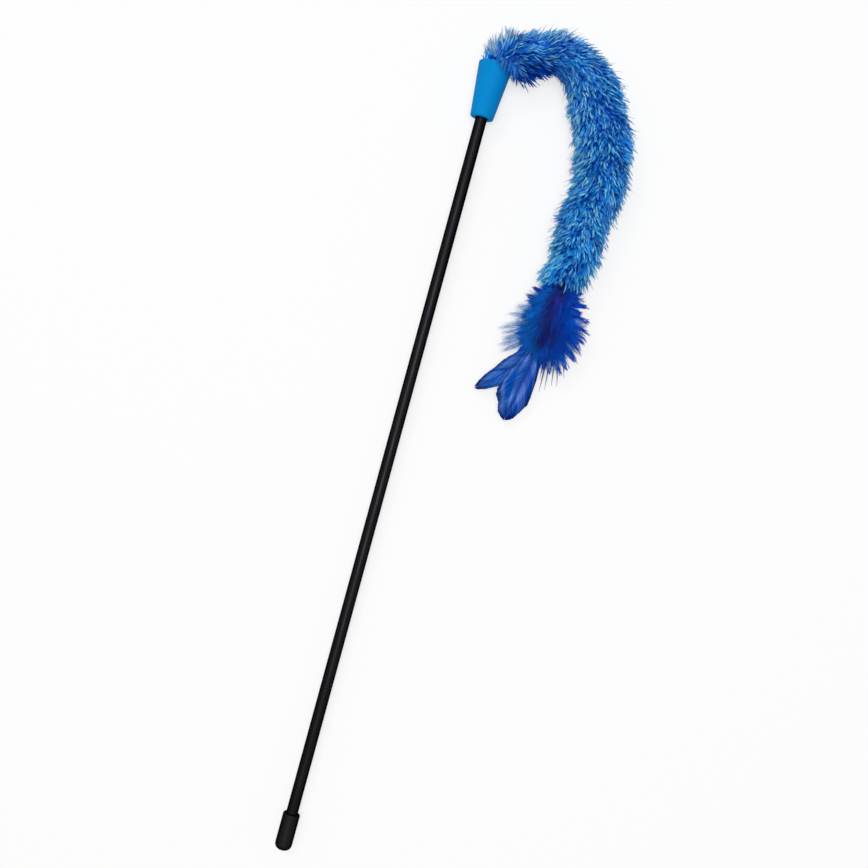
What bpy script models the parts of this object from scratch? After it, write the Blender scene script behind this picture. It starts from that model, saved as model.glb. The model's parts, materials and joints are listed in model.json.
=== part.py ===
"""Feather cat wand: a plain rod with a capped butt, a flared collar, a plush tail and a tuft of feathers.

The wand lies on a flat surface. The rod runs along +Y, the tail arches over toward +X and the feathers
point back along the rod. The origin is the centre of the small flat at the cap's closed end.
All lengths are in metres and all angles in degrees unless a name says otherwise.
"""

import math
from typing import NamedTuple

import bmesh
import bpy
from mathutils import Matrix, Vector

# Fits
GAP = 0.0003
SOFT_GAP = 0.0006
EDGE = 0.0006
FINE_EDGE = 0.0002
JOIN = 0.00001

# Rod and cap: distances run along the rod from the cap's closed end
ROD_RADIUS = 0.0033
CAP_WALL = 0.0012
CAP_RADIUS = ROD_RADIUS + GAP + CAP_WALL
CAP_LENGTH = 0.021
CAP_FLOOR = 0.003
CAP_FLAT_RADIUS = 0.0014

# Collar: a socket for the rod, a web behind it and a mouth around the tail's root
COLLAR_FOOT = 0.4225
COLLAR_LENGTH = 0.0305
COLLAR_MOUTH = COLLAR_FOOT + COLLAR_LENGTH
SOCKET_DEPTH = 0.0155
ROD_END = COLLAR_FOOT + SOCKET_DEPTH
COLLAR_WALL = 0.0015
COLLAR_FOOT_WALL = 0.0029
COLLAR_FOOT_RADIUS = ROD_RADIUS + GAP + COLLAR_FOOT_WALL
COLLAR_MOUTH_RADIUS = 0.0096
COLLAR_WEB = 0.0022
FOOT_ROUND = 0.0009
WEB_ROUND = 0.0012
MOUTH_ROUND = 0.0005

# Core cord and the stop behind the web
CORE_RADIUS = 0.0010
CORE_END_GAP = 0.0006
CRIMP_WALL = 0.0025
CRIMP_LENGTH = 0.0042

# Tail: the centre line seen from above, as lengths and clockwise turns from the rod's direction
SWING_RISE = 0.0055
SWING_CENTRE = COLLAR_MOUTH + SWING_RISE
REST_HEIGHT = 0.015
ROOT_REST_HEIGHT = 0.0126
FIRST_HEADING = 72.0
LINK_RUNS = (
    ((0.020, 0.0),),
    ((0.009, 0.0), (0.016, 47.0), (0.024, 33.0)),
    ((0.009, 0.0), (0.042, 33.0)),
    ((0.009, 0.0), (0.032, 0.0)),
)

# Plush: the root ball clears the collar's mouth, and each hinge has a dome in a cup
ROOT_CLEARANCE = 0.0005
ROOT_BALL_RADIUS = math.hypot(COLLAR_MOUTH_RADIUS - COLLAR_WALL - ROOT_CLEARANCE, SWING_RISE)
ROOT_FLARE = ((0.0082, 0.0084, 0.0012), (0.0110, 0.0112, 0.0010), (0.0145, 0.0126, 0.0004))
ROOT_OPENINGS = (165, 148, 131, 114, 97, 80, 64, 50)
HINGE_RADII = (0.0136, 0.0150, 0.0145, 0.0137)
BULGES = (0.0, 0.0006, 0.0006, 0.0006)
CUP_OPENINGS = (20, 40, 60)
DOME_OPENINGS = (74, 57, 40, 22)
CUP_LIP = 0.0095

# Tie and quills: distances run from the last hinge centre along the feather bundle
BUNDLE_DROOP = 3.0
QUILL_START = HINGE_RADII[-1] + GAP
QUILL_TAIL = 0.0006
TIE_START = QUILL_START + QUILL_TAIL
TIE_TURNS = 5
TIE_PITCH = 0.0012
TIE_END = TIE_START + TIE_TURNS * TIE_PITCH
TIE_INNER_RADIUS = 0.0033
TIE_THREAD_HEIGHT = 0.0004
SPOON_QUILL_RADIUS = 0.0007
SPOON_RING_RADIUS = 0.0010

# Facets
ROUND_STEPS = 48
SMALL_ROUND_STEPS = 24
PLUSH_STEPS = 24
PLUSH_RING_SPACING = 0.0055
CORE_STEPS = 12
CORE_RING_SPACING = 0.0065

# Palette: linear colour, roughness, metallic
FINISHES = {
    "rod_black": ((0.016, 0.016, 0.018), 0.34, 0.0),
    "cap_black": ((0.011, 0.011, 0.012), 0.60, 0.0),
    "collar_blue": ((0.0035, 0.260, 0.600), 0.55, 0.0),
    "plush_blue": ((0.040, 0.170, 0.445), 0.95, 0.0),
    "core_cord": ((0.620, 0.600, 0.560), 0.80, 0.0),
    "crimp_steel": ((0.560, 0.560, 0.570), 0.35, 1.0),
    "tie_thread": ((0.010, 0.016, 0.055), 0.70, 0.0),
    "spoon_blue": ((0.014, 0.088, 0.370), 0.50, 0.0),
    "marabou_navy": ((0.0075, 0.027, 0.216), 0.90, 0.0),
}


def clear_scene():
    """Take every object out of the file."""
    for found in list(bpy.data.objects):
        bpy.data.objects.remove(found, do_unlink=True)


def finish(name):
    """The named material, made once."""
    known = bpy.data.materials.get(name)
    if known:
        return known
    colour, roughness, metallic = FINISHES[name]
    made = bpy.data.materials.new(name)
    made.use_nodes = True
    shader = made.node_tree.nodes["Principled BSDF"]
    shader.inputs["Base Color"].default_value = (*colour, 1.0)
    shader.inputs["Roughness"].default_value = roughness
    shader.inputs["Metallic"].default_value = metallic
    return made


def put(name, body, dressed, frame, parent=None):
    """An object of one closed body whose local axes are the given frame."""
    bmesh.ops.recalc_face_normals(body, faces=body.faces)
    if body.calc_volume(signed=True) < 0:
        bmesh.ops.reverse_faces(body, faces=body.faces)
    mesh = bpy.data.meshes.new(name)
    for face in body.faces:
        face.smooth = True
    body.to_mesh(mesh)
    body.free()
    mesh.materials.append(finish(dressed))
    made = bpy.data.objects.new(name, mesh)
    bpy.context.scene.collection.objects.link(made)
    made.parent = parent
    made.matrix_basis = frame
    return made


def rounded(outline, index, radius, steps=4):
    """The outline with one corner replaced by a short arc."""
    corner = Vector(outline[index])
    before = (Vector(outline[index - 1]) - corner).normalized()
    after = (Vector(outline[(index + 1) % len(outline)]) - corner).normalized()
    half = before.angle(after) / 2
    centre = corner + (before + after).normalized() * radius / math.sin(half)
    first = corner + before * radius / math.tan(half)
    last = corner + after * radius / math.tan(half)
    arc = []
    for step in range(steps + 1):
        spoke = (first - centre).normalized().slerp((last - centre).normalized(), step / steps)
        arc.append(tuple(centre + spoke * radius))
    return outline[:index] + arc + outline[index + 1:]


def turned(outline, steps=ROUND_STEPS):
    """A body of revolution about +Y from a closed outline of (radius, distance) pairs."""
    body = bmesh.new()
    corners = [body.verts.new((r, y, 0.0)) for r, y in outline]
    edges = [
        body.edges.new((corners[k], corners[(k + 1) % len(corners)]))
        for k in range(len(corners))
    ]
    axis_edges = [e for e in edges if max(abs(v.co.x) for v in e.verts) < 1e-9]
    bmesh.ops.delete(body, geom=axis_edges, context="EDGES_FACES")
    bmesh.ops.spin(
        body, geom=body.verts[:] + body.edges[:], axis=(0, 1, 0), cent=(0, 0, 0),
        angle=math.tau, steps=steps, use_merge=True,
    )
    bmesh.ops.remove_doubles(body, verts=body.verts, dist=1e-7)
    return body


def skinned(rings, closed):
    """A body skinned over rings of points: a closed tube, or one with flat ends."""
    body = bmesh.new()
    loops = []
    for ring in rings:
        corners = [body.verts.new(p) for p in ring]
        loops.append([
            body.edges.new((corners[k], corners[(k + 1) % len(corners)]))
            for k in range(len(corners))
        ])
    pairs = list(zip(loops, loops[1:]))
    if closed:
        pairs.append((loops[-1], loops[0]))
    for one, two in pairs:
        bmesh.ops.bridge_loops(body, edges=one + two)
    if not closed:
        bmesh.ops.contextual_create(body, geom=loops[0])
        bmesh.ops.contextual_create(body, geom=loops[-1])
    return body


def ring_at(frame, steps, wide, tall, ahead=0.0):
    """Points of an ellipse in the frame's XY plane, moved ahead along its Z."""
    points = []
    for k in range(steps):
        turn = math.tau * k / steps
        local = Vector((wide * math.cos(turn), tall * math.sin(turn), ahead))
        points.append(frame @ local)
    return points


def ball_ring(frame, steps, radius, opening):
    """A ring on a sphere about the frame's origin, at an angle from its Z."""
    spread = math.radians(opening)
    reach = radius * math.sin(spread)
    return ring_at(frame, steps, reach, reach, radius * math.cos(spread))


def heading_frame(place, heading, rise=0.0):
    """A frame at a place whose Z runs ahead, whose X points to the side and whose Y points up."""
    level = math.cos(math.radians(rise))
    ahead = Vector((
        math.sin(math.radians(heading)) * level,
        math.cos(math.radians(heading)) * level,
        math.sin(math.radians(rise)),
    ))
    side = Vector((0, 0, 1)).cross(ahead).normalized()
    up = ahead.cross(side)
    frame = Matrix((side, up, ahead)).transposed().to_4x4()
    frame.translation = place
    return frame


class Link:
    """One rigid length of the tail, from the hinge at its start to the hinge at its end."""

    def __init__(self, start, heading, rise, runs):
        self.runs = runs
        self.rise = rise
        self.start = start
        self.heading = heading
        self.length = sum(length for length, turn in runs)
        self.first = self.at(0.0)
        self.last = self.at(self.length)

    def at(self, distance):
        """The frame at a distance along the centre line, which runs on straight past both ends."""
        place = self.start.copy()
        heading = self.heading
        left = distance
        for length, turn in self.runs:
            step = min(left, length)
            bend = turn * max(step, 0.0) / length
            chord = step
            if abs(bend) > 1e-6:
                half = math.radians(bend) / 2
                chord = step * math.sin(half) / half
            ahead = heading_frame(place, heading + bend / 2, self.rise)
            place = ahead @ Vector((0, 0, chord))
            heading += bend
            left -= step
            if left <= 0.0:
                break
        beyond = heading_frame(place, heading, self.rise)
        return heading_frame(beyond @ Vector((0, 0, max(left, 0.0))), heading, self.rise)


def tail_links(swing_centre):
    """The tail's four links, one after another from the collar's mouth."""
    climb = ROOT_REST_HEIGHT - REST_HEIGHT
    links = []
    place = swing_centre
    heading = FIRST_HEADING
    for index, runs in enumerate(LINK_RUNS):
        length = sum(run for run, turn in runs)
        rise = math.degrees(math.asin(-climb / length)) if index == 0 else 0.0
        link = Link(place, heading, rise, runs)
        links.append(link)
        place = link.last.translation.copy()
        heading += sum(turn for run, turn in runs)
    return links


def smooth_step(share):
    """An even rise from 0 to 1."""
    share = min(max(share, 0.0), 1.0)
    return share * share * (3 - 2 * share)


def along(points, share):
    """A value read off a short list of (share, value) pairs, eased between them."""
    for (x0, y0), (x1, y1) in zip(points, points[1:]):
        if share <= x1:
            return y0 + (y1 - y0) * smooth_step((share - x0) / (x1 - x0))
    return points[-1][1]


def build_rod(wand):
    """The straight rod, with softened ends."""
    floor = CAP_FLOOR + GAP
    outline = [(0.0, floor), (ROD_RADIUS, floor), (ROD_RADIUS, ROD_END), (0.0, ROD_END)]
    outline = rounded(outline, 2, EDGE, 2)
    outline = rounded(outline, 1, EDGE, 2)
    return put("rod", turned(outline), "rod_black", Matrix(), wand)


def build_end_cap(wand):
    """The pushed-on cap: a rounded closed end with a small flat, and a soft lip."""
    bore = ROD_RADIUS + GAP
    outline = [
        (0.0, CAP_FLOOR), (0.0, 0.0), (CAP_FLAT_RADIUS, 0.0), (CAP_RADIUS, 0.0),
        (CAP_RADIUS, CAP_LENGTH), (bore, CAP_LENGTH), (bore, CAP_FLOOR),
    ]
    outline = rounded(outline, 5, FINE_EDGE, 2)
    outline = rounded(outline, 4, EDGE, 4)
    outline = rounded(outline, 3, CAP_RADIUS - CAP_FLAT_RADIUS - JOIN, 7)
    return put("end_cap", turned(outline), "cap_black", Matrix(), wand)


def collar_outer_radius(distance):
    """The collar's outside at a distance from the butt."""
    share = (distance - COLLAR_FOOT) / COLLAR_LENGTH
    return COLLAR_FOOT_RADIUS + (COLLAR_MOUTH_RADIUS - COLLAR_FOOT_RADIUS) * share


def build_collar(wand):
    """The flared collar: a rod socket below, a web with a cord hole, and an open mouth."""
    bore = ROD_RADIUS + GAP
    web_low = ROD_END + GAP
    web_high = web_low + COLLAR_WEB
    hole = CORE_RADIUS + GAP
    low_wall = collar_outer_radius(web_high) - COLLAR_WALL
    high_wall = COLLAR_MOUTH_RADIUS - COLLAR_WALL
    outline = [
        (bore, COLLAR_FOOT), (COLLAR_FOOT_RADIUS, COLLAR_FOOT),
        (COLLAR_MOUTH_RADIUS, COLLAR_MOUTH), (high_wall, COLLAR_MOUTH),
        (low_wall, web_high), (hole, web_high), (hole, web_low), (bore, web_low),
    ]
    outline = rounded(outline, 4, WEB_ROUND, 3)
    outline = rounded(outline, 3, MOUTH_ROUND, 3)
    outline = rounded(outline, 2, MOUTH_ROUND, 3)
    outline = rounded(outline, 1, FOOT_ROUND, 4)
    outline = rounded(outline, 0, EDGE, 3)
    return put("collar", turned(outline), "collar_blue", Matrix(), wand)


def build_crimp(wand):
    """The stop that holds the tail's core cord against the collar's web."""
    low = ROD_END + GAP + COLLAR_WEB + GAP
    bore = CORE_RADIUS + GAP
    high = low + CRIMP_LENGTH
    outside = bore + CRIMP_WALL
    outline = [(bore, low), (outside, low), (outside, high), (bore, high)]
    outline = rounded(outline, 2, EDGE, 3)
    outline = rounded(outline, 1, EDGE, 3)
    return put("core_crimp", turned(outline, SMALL_ROUND_STEPS), "crimp_steel", Matrix(), wand)


def root_rings(link):
    """The first link's start: a ball that sits in the collar's mouth, then a flare."""
    rings = []
    for opening in ROOT_OPENINGS:
        rings.append(ball_ring(link.first, PLUSH_STEPS, ROOT_BALL_RADIUS, opening))
    for ahead, radius, shift in ROOT_FLARE:
        fuller = link.at(ahead) @ Matrix.Translation((shift, 0, 0))
        rings.append(ring_at(fuller, PLUSH_STEPS, radius, radius))
    return rings


def cup_rings(link, radius):
    """A hollow that wraps the dome of the link before it, and the lip around it."""
    reach = radius + SOFT_GAP
    rings = []
    for opening in CUP_OPENINGS:
        rings.append(ball_ring(link.first, PLUSH_STEPS, reach, opening))
    rings.append(ring_at(link.at(CUP_LIP), PLUSH_STEPS, radius, radius))
    return rings


def outer_rings(index, link):
    """The outside of one plush length, from its ball or cup to the dome at its end."""
    radius = HINGE_RADII[index]
    if index == 0:
        rings = root_rings(link)
        start, start_radius = ROOT_FLARE[-1][:2]
    else:
        start_radius = HINGE_RADII[index - 1]
        rings = cup_rings(link, start_radius)
        start = CUP_LIP
    span = link.length - start
    count = max(2, round(span / PLUSH_RING_SPACING))
    for step in range(1, count + 1):
        share = step / count
        even = start_radius + (radius - start_radius) * smooth_step(share)
        wide = even + BULGES[index] * math.sin(math.pi * share)
        rings.append(ring_at(link.at(start + span * share), PLUSH_STEPS, wide, even))
    for opening in DOME_OPENINGS:
        rings.append(ball_ring(link.last, PLUSH_STEPS, radius, opening))
    return rings


def bore_rings(index, link):
    """The bore of one plush length, from the dome at its end back to its ball or cup."""
    radius = HINGE_RADII[index]
    bore = CORE_RADIUS + GAP
    low, mouth = core_start(index)
    tip = math.degrees(math.asin(bore / radius))
    rings = [ball_ring(link.last, PLUSH_STEPS, radius, tip)]
    for distance in reversed(bore_stations(link, low, radius)[1:-1]):
        rings.append(ring_at(link.at(distance), PLUSH_STEPS, bore, bore))
    if index == 0:
        tip = math.degrees(math.asin(bore / mouth))
        rings.append(ball_ring(link.first, PLUSH_STEPS, mouth, 180 - tip))
        return rings
    on_ball = []
    centre = link.first.translation
    for point in ring_at(link.at(mouth), PLUSH_STEPS, bore, bore):
        on_ball.append(centre + (point - centre).normalized() * mouth)
    rings.append(on_ball)
    return rings


def core_start(index):
    """Where the bore of one plush length starts along it, and the radius of its ball or cup."""
    if index == 0:
        return -ROOT_BALL_RADIUS, ROOT_BALL_RADIUS
    cup = HINGE_RADII[index - 1] + SOFT_GAP
    return cup, cup


def bore_stations(link, low, radius):
    """Distances along the centre line at which the bore and the core are shaped."""
    high = link.length + radius
    count = max(3, round((high - low) / CORE_RING_SPACING))
    return [low + (high - low) * k / count for k in range(count + 1)]


def link_frame(link):
    """An object frame on the link's hinge, with level axes."""
    return Matrix.Translation(link.first.translation)


def local_to(frame, rings):
    """The rings expressed in an object frame."""
    back = frame.inverted()
    return [[back @ point for point in ring] for ring in rings]


def build_plush(index, link):
    """One rigid length of the plush tail with ball and cup ends."""
    frame = link_frame(link)
    rings = local_to(frame, outer_rings(index, link) + bore_rings(index, link))
    return put(f"tail_plush_{index + 1}", skinned(rings, True), "plush_blue", frame)


def build_core(index, link):
    """The length of core cord that runs inside one plush length."""
    stations = bore_stations(link, core_start(index)[0], HINGE_RADII[index])
    stations[0] += CORE_END_GAP
    stations[-1] -= CORE_END_GAP
    frame = link_frame(link)
    rings = [ring_at(link.at(d), CORE_STEPS, CORE_RADIUS, CORE_RADIUS) for d in stations]
    return put(f"tail_core_{index + 1}", skinned(local_to(frame, rings), False), "core_cord", frame)


def build_tie(bundle):
    """The thread wound round the quills."""
    middle = TIE_INNER_RADIUS + TIE_THREAD_HEIGHT
    outline = [(TIE_INNER_RADIUS, TIE_END), (TIE_INNER_RADIUS, TIE_START)]
    for turn in range(TIE_TURNS):
        base = TIE_START + turn * TIE_PITCH
        outline.append((middle, base))
        for step in (1, 2, 3):
            swell = TIE_THREAD_HEIGHT * math.sin(math.pi * step / 4)
            outline.append((middle + swell, base + step / 4 * TIE_PITCH))
    outline.append((middle, TIE_END))
    body = turned(outline, SMALL_ROUND_STEPS)
    turn = Matrix.Rotation(math.pi / 2, 3, "X")
    bmesh.ops.rotate(body, verts=body.verts, cent=(0, 0, 0), matrix=turn)
    return put("tie_thread", body, "tie_thread", bundle.copy())


class Spoon(NamedTuple):
    """A spoon feather: its run past the tie, its pose, and half-widths as (share, width) pairs."""

    name: str
    length: float
    splay: float
    tip_drop: float
    layer: float
    roll: float
    quill_turn: float
    left_widths: tuple
    right_widths: tuple


SPOONS = (
    Spoon("left", 0.0681, -20.6, -0.0060, 0.0, 6.0, 150.0,
          ((0.0, 0.0), (0.20, 0.0), (0.45, 0.0036), (0.74, 0.0052), (0.90, 0.0036), (1.0, 0.0004)),
          ((0.0, 0.0), (0.20, 0.0), (0.42, 0.0030), (0.70, 0.0046), (0.88, 0.0028), (1.0, 0.0004))),
    Spoon("middle", 0.0741, -2.4, -0.0045, 0.0030, -8.0, 30.0,
          ((0.0, 0.0), (0.20, 0.0), (0.48, 0.0056), (0.76, 0.0092), (0.93, 0.0070), (1.0, 0.0016)),
          ((0.0, 0.0), (0.22, 0.0), (0.50, 0.0050), (0.78, 0.0084), (0.94, 0.0060), (1.0, 0.0016))),
    Spoon("right", 0.0641, 4.8, -0.0080, -0.0030, 58.0, 270.0,
          ((0.0, 0.0), (0.20, 0.0), (0.50, 0.0044), (0.76, 0.0062), (0.92, 0.0042), (1.0, 0.0006)),
          ((0.0, 0.0), (0.20, 0.0), (0.50, 0.0040), (0.74, 0.0056), (0.90, 0.0038), (1.0, 0.0006))),
)
SPOON_RINGS = 22
SPOON_SIDES = 10
SPOON_BEND = 0.65
SPOON_LAYER_RUN = 0.33
SPOON_GATHER_RUN = 0.25
SPOON_VANE_START = 0.15
SPOON_VANE_FULL = 0.50
QUILL_SHARE = 0.20
SPOON_CAMBER = 0.16
CAMBER_REACH = 0.009
VANE_THICKNESS = 0.0009
TIP_STEP = 0.004


def spoon_centre(spoon, share):
    """The middle of a spoon feather at a share of its length, in bundle axes."""
    turn = math.radians(spoon.quill_turn)
    start = Vector((SPOON_RING_RADIUS * math.cos(turn), SPOON_RING_RADIUS * math.sin(turn)))
    tie_end = TIE_END + GAP
    straight = (tie_end - QUILL_START) / (spoon.length + tie_end - QUILL_START)
    if share <= straight:
        ahead = QUILL_START + (tie_end - QUILL_START) * share / straight
        return Vector((start.x, start.y, ahead))
    run = (share - straight) / (1 - straight)
    splay = math.radians(spoon.splay)
    across = math.sin(splay) * spoon.length * run * (1 - SPOON_BEND + SPOON_BEND * run)
    height = spoon.layer * smooth_step(run / SPOON_LAYER_RUN)
    height += (spoon.tip_drop - spoon.layer) * run ** 3
    forward = tie_end + run * spoon.length * math.cos(splay * run)
    eased = smooth_step(run / SPOON_GATHER_RUN)
    return Vector((start.x + across, start.y * (1 - eased) + height * eased, forward))


def spoon_axes(spoon, share, grown):
    """The directions across and square to a spoon feather's face."""
    if share < QUILL_SHARE:
        return Vector((1, 0, 0)), Vector((0, 1, 0))
    after = spoon_centre(spoon, min(share + TIP_STEP, 1.0))
    before = spoon_centre(spoon, max(share - TIP_STEP, 0.0))
    ahead = (after - before).normalized()
    twist = math.radians(spoon.roll) * grown
    flat = Vector((math.cos(twist), math.sin(twist), 0.0))
    across = (flat - ahead * flat.dot(ahead)).normalized()
    return across, ahead.cross(across)


def spoon_ring(spoon, share):
    """One ring of a spoon feather: a round quill low down, a cambered vane with a rib above."""
    centre = spoon_centre(spoon, share)
    grown = smooth_step((share - SPOON_VANE_START) / (SPOON_VANE_FULL - SPOON_VANE_START))
    across, normal = spoon_axes(spoon, share, grown)
    left = max(along(spoon.left_widths, share), SPOON_QUILL_RADIUS)
    right = max(along(spoon.right_widths, share), SPOON_QUILL_RADIUS)
    rib = SPOON_QUILL_RADIUS + (VANE_THICKNESS / 2 - SPOON_QUILL_RADIUS) * grown
    ring = []
    for k in range(SPOON_SIDES):
        turn = math.tau * k / SPOON_SIDES
        reach = (right if math.cos(turn) > 0 else left) * math.cos(turn)
        dip = SPOON_CAMBER * reach * reach / CAMBER_REACH * grown
        ring.append(centre + across * reach + normal * (rib * math.sin(turn) - dip))
    return ring


def build_spoon(bundle, spoon):
    """One flat feather from its tied quill to its tip."""
    rings = [spoon_ring(spoon, step / SPOON_RINGS) for step in range(SPOON_RINGS + 1)]
    return put(f"spoon_feather_{spoon.name}", skinned(rings, False), "spoon_blue", bundle.copy())


# Marabou plumes: direction about the bundle in degrees, then how far along the bundle the plume reaches
PLUMES = (
    (28.0, 0.064), (68.0, 0.060), (112.0, 0.056), (152.0, 0.048),
    (208.0, 0.046), (248.0, 0.054), (292.0, 0.058), (332.0, 0.062),
)
PLUME_FULL_REACH = 0.060
PLUME_WEDGE = 19.6
PLUME_WIDEN = 1.6
PLUME_WIDEN_RUN = 0.010
PLUME_HEART_RADIUS = 0.0019
PLUME_FLATNESS = 1.7
PLUME_SIDES = 12
PLUME_RING_SPACING = 0.0034
PLUME_CENTRES = (
    (0.0, 0.0025), (0.14, 0.0025), (0.27, 0.0070), (0.48, 0.0094), (0.70, 0.0098), (1.0, 0.0086),
)
PLUME_DEPTHS = (
    (0.0, 0.0005), (0.14, 0.0005), (0.30, 0.0024), (0.55, 0.0030), (0.82, 0.0023), (1.0, 0.0005),
)


def plume_ring(direction, share, own, ahead):
    """One ring of a plume at a share of the bundle's reach and of its own length."""
    turn = math.radians(direction)
    outward = Vector((math.cos(turn), math.sin(turn)))
    sideways = Vector((-math.sin(turn), math.cos(turn)))
    centre = along(PLUME_CENTRES, share)
    depth = min(along(PLUME_DEPTHS, own), centre - PLUME_HEART_RADIUS)
    room = centre * math.sin(math.radians(PLUME_WEDGE)) - GAP / 2
    width = min(room, depth * PLUME_FLATNESS)
    widen = 1.0 + (PLUME_WIDEN - 1.0) * smooth_step((ahead - TIE_END) / PLUME_WIDEN_RUN)
    ring = []
    for k in range(PLUME_SIDES):
        angle = math.tau * k / PLUME_SIDES
        flat = outward * (centre + depth * math.cos(angle)) + sideways * width * math.sin(angle)
        ring.append(Vector((flat.x * widen, flat.y, ahead)))
    return ring


def build_plume(number, bundle, direction, reach):
    """One marabou plume: a thin quill under the tie that swells into a soft curved lobe."""
    low = TIE_START - GAP
    stations = [low, TIE_END + GAP]
    ahead = stations[-1] + PLUME_RING_SPACING
    while ahead < reach - PLUME_RING_SPACING / 2:
        stations.append(ahead)
        ahead += PLUME_RING_SPACING
    stations.append(reach)
    rings = []
    for ahead in stations:
        share = (ahead - low) / (PLUME_FULL_REACH - low)
        own = (ahead - low) / (reach - low)
        rings.append(plume_ring(direction, share, own, ahead))
    return put(f"marabou_plume_{number}", skinned(rings, False), "marabou_navy", bundle.copy())


def main():
    """Build the wand, its tail and its feathers."""
    clear_scene()
    table = -CAP_RADIUS
    tilt = math.asin((table + ROOT_REST_HEIGHT) / SWING_CENTRE)
    wand = bpy.data.objects.new("wand_axis", None)
    bpy.context.scene.collection.objects.link(wand)
    wand.rotation_euler = (tilt, 0.0, 0.0)
    build_rod(wand)
    build_end_cap(wand)
    build_collar(wand)
    build_crimp(wand)
    swing_centre = Vector((0.0, SWING_CENTRE * math.cos(tilt), SWING_CENTRE * math.sin(tilt)))
    links = tail_links(swing_centre)
    for index, link in enumerate(links):
        build_plush(index, link)
        build_core(index, link)
    end = links[-1].last
    heading = links[-1].heading + sum(turn for run, turn in links[-1].runs)
    bundle = heading_frame(end.translation, heading, -BUNDLE_DROOP)
    build_tie(bundle)
    for spoon in SPOONS:
        build_spoon(bundle, spoon)
    for number, (direction, reach) in enumerate(PLUMES):
        build_plume(number + 1, bundle, direction, reach)
    for index, link in enumerate(links):
        print("hinge", index + 1, [round(v, 6) for v in link.first.translation], round(link.heading, 3))
    print("hinge", 5, [round(v, 6) for v in end.translation], heading, "tilt", math.degrees(tilt))


main()
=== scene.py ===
"""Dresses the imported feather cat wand: fur, down and feathers over the fixed frame, on a pale studio floor.

Every length is in metres unless a name ends in _mm, and every place is in the frame's own axes:
+Y along the rod toward the collar, +X toward the tail, +Z up.
"""

import json
import logging
import math
from dataclasses import dataclass, field
from enum import Enum
from typing import Callable, Mapping, Optional, Sequence, Union

import bmesh
import bpy
import numpy as np
from mathutils import Matrix, Vector


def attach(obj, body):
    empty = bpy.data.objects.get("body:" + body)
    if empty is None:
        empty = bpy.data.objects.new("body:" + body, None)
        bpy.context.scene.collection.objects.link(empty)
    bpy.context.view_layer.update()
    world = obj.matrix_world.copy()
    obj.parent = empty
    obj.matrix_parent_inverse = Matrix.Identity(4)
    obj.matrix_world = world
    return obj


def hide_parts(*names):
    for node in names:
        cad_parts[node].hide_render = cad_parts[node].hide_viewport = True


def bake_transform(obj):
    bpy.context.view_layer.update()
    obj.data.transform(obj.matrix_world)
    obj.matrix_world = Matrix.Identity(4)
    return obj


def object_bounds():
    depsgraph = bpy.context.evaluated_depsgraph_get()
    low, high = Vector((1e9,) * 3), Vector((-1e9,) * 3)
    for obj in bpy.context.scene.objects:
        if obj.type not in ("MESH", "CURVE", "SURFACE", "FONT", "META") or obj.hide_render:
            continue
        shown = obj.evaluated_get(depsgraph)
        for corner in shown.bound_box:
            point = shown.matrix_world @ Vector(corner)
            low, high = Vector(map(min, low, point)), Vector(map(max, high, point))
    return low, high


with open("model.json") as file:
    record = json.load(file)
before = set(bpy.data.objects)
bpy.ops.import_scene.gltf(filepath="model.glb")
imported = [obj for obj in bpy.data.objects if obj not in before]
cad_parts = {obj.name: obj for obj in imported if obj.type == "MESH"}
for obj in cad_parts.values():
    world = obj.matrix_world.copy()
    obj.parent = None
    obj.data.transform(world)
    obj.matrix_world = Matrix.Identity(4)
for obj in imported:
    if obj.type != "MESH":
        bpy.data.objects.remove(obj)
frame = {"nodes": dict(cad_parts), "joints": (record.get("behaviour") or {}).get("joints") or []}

CAD_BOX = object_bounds()
MM = 0.001
TABLE = CAD_BOX[0][2]
GOLDEN_TURN = 2.39996
EVEN = (1.0, 1.0, 1.0)
LOG = logging.getLogger("wand")

Pair = tuple[float, float]
Triple = tuple[float, float, float]
Curve = Sequence[Pair]
Array = np.ndarray
Chance = np.random.Generator
Node = bpy.types.Node
Piece = bpy.types.Object
Socket = bpy.types.NodeSocket
Inputs = Mapping[Union[str, int], object]


def read_mm(curve: Curve, where: Array) -> Array:
    """Values in metres at distances in metres, from a curve of millimetres over millimetres."""
    return np.interp(where / MM, *np.array(curve).T) * MM


def held(values: Array) -> Array:
    """The values, held between 0 and 1."""
    return np.clip(values, 0.0, 1.0)


def ramp(values: Array, start: float, width: float) -> Array:
    """Shares that rise from 0 at the start to 1 over the width."""
    return held((values - start) / width)


def hump(values: Array, middle: float, reach: float) -> Array:
    """Shares that are 1 at the middle and fade away softly on both sides."""
    return np.exp(-(((values - middle) / reach) ** 2))


def unit(vectors: Array) -> Array:
    """The vectors along the last axis, scaled to a length of one."""
    return vectors / np.maximum(np.linalg.norm(vectors, axis=-1, keepdims=True), 1e-12)


def between(first: Array, second: Array, angle: Array) -> Array:
    """Directions turned by angles in radians from the first ones toward the second ones."""
    return first * np.cos(angle)[:, None] + second * np.sin(angle)[:, None]


def joint_place(name: str) -> Vector:
    """Where a joint of the frame is."""
    return Vector(next(joint["pos_m"] for joint in frame["joints"] if joint["name"] == name))


def placed(name: str, data: bpy.types.ID) -> Piece:
    """A new object in the scene.

    Args:
        name: its name.
        data: its mesh, curve, light or camera.

    Returns:
        The object.
    """
    made = bpy.data.objects.new(name, data)
    bpy.context.scene.collection.objects.link(made)
    return made


# Shader graphs


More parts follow.
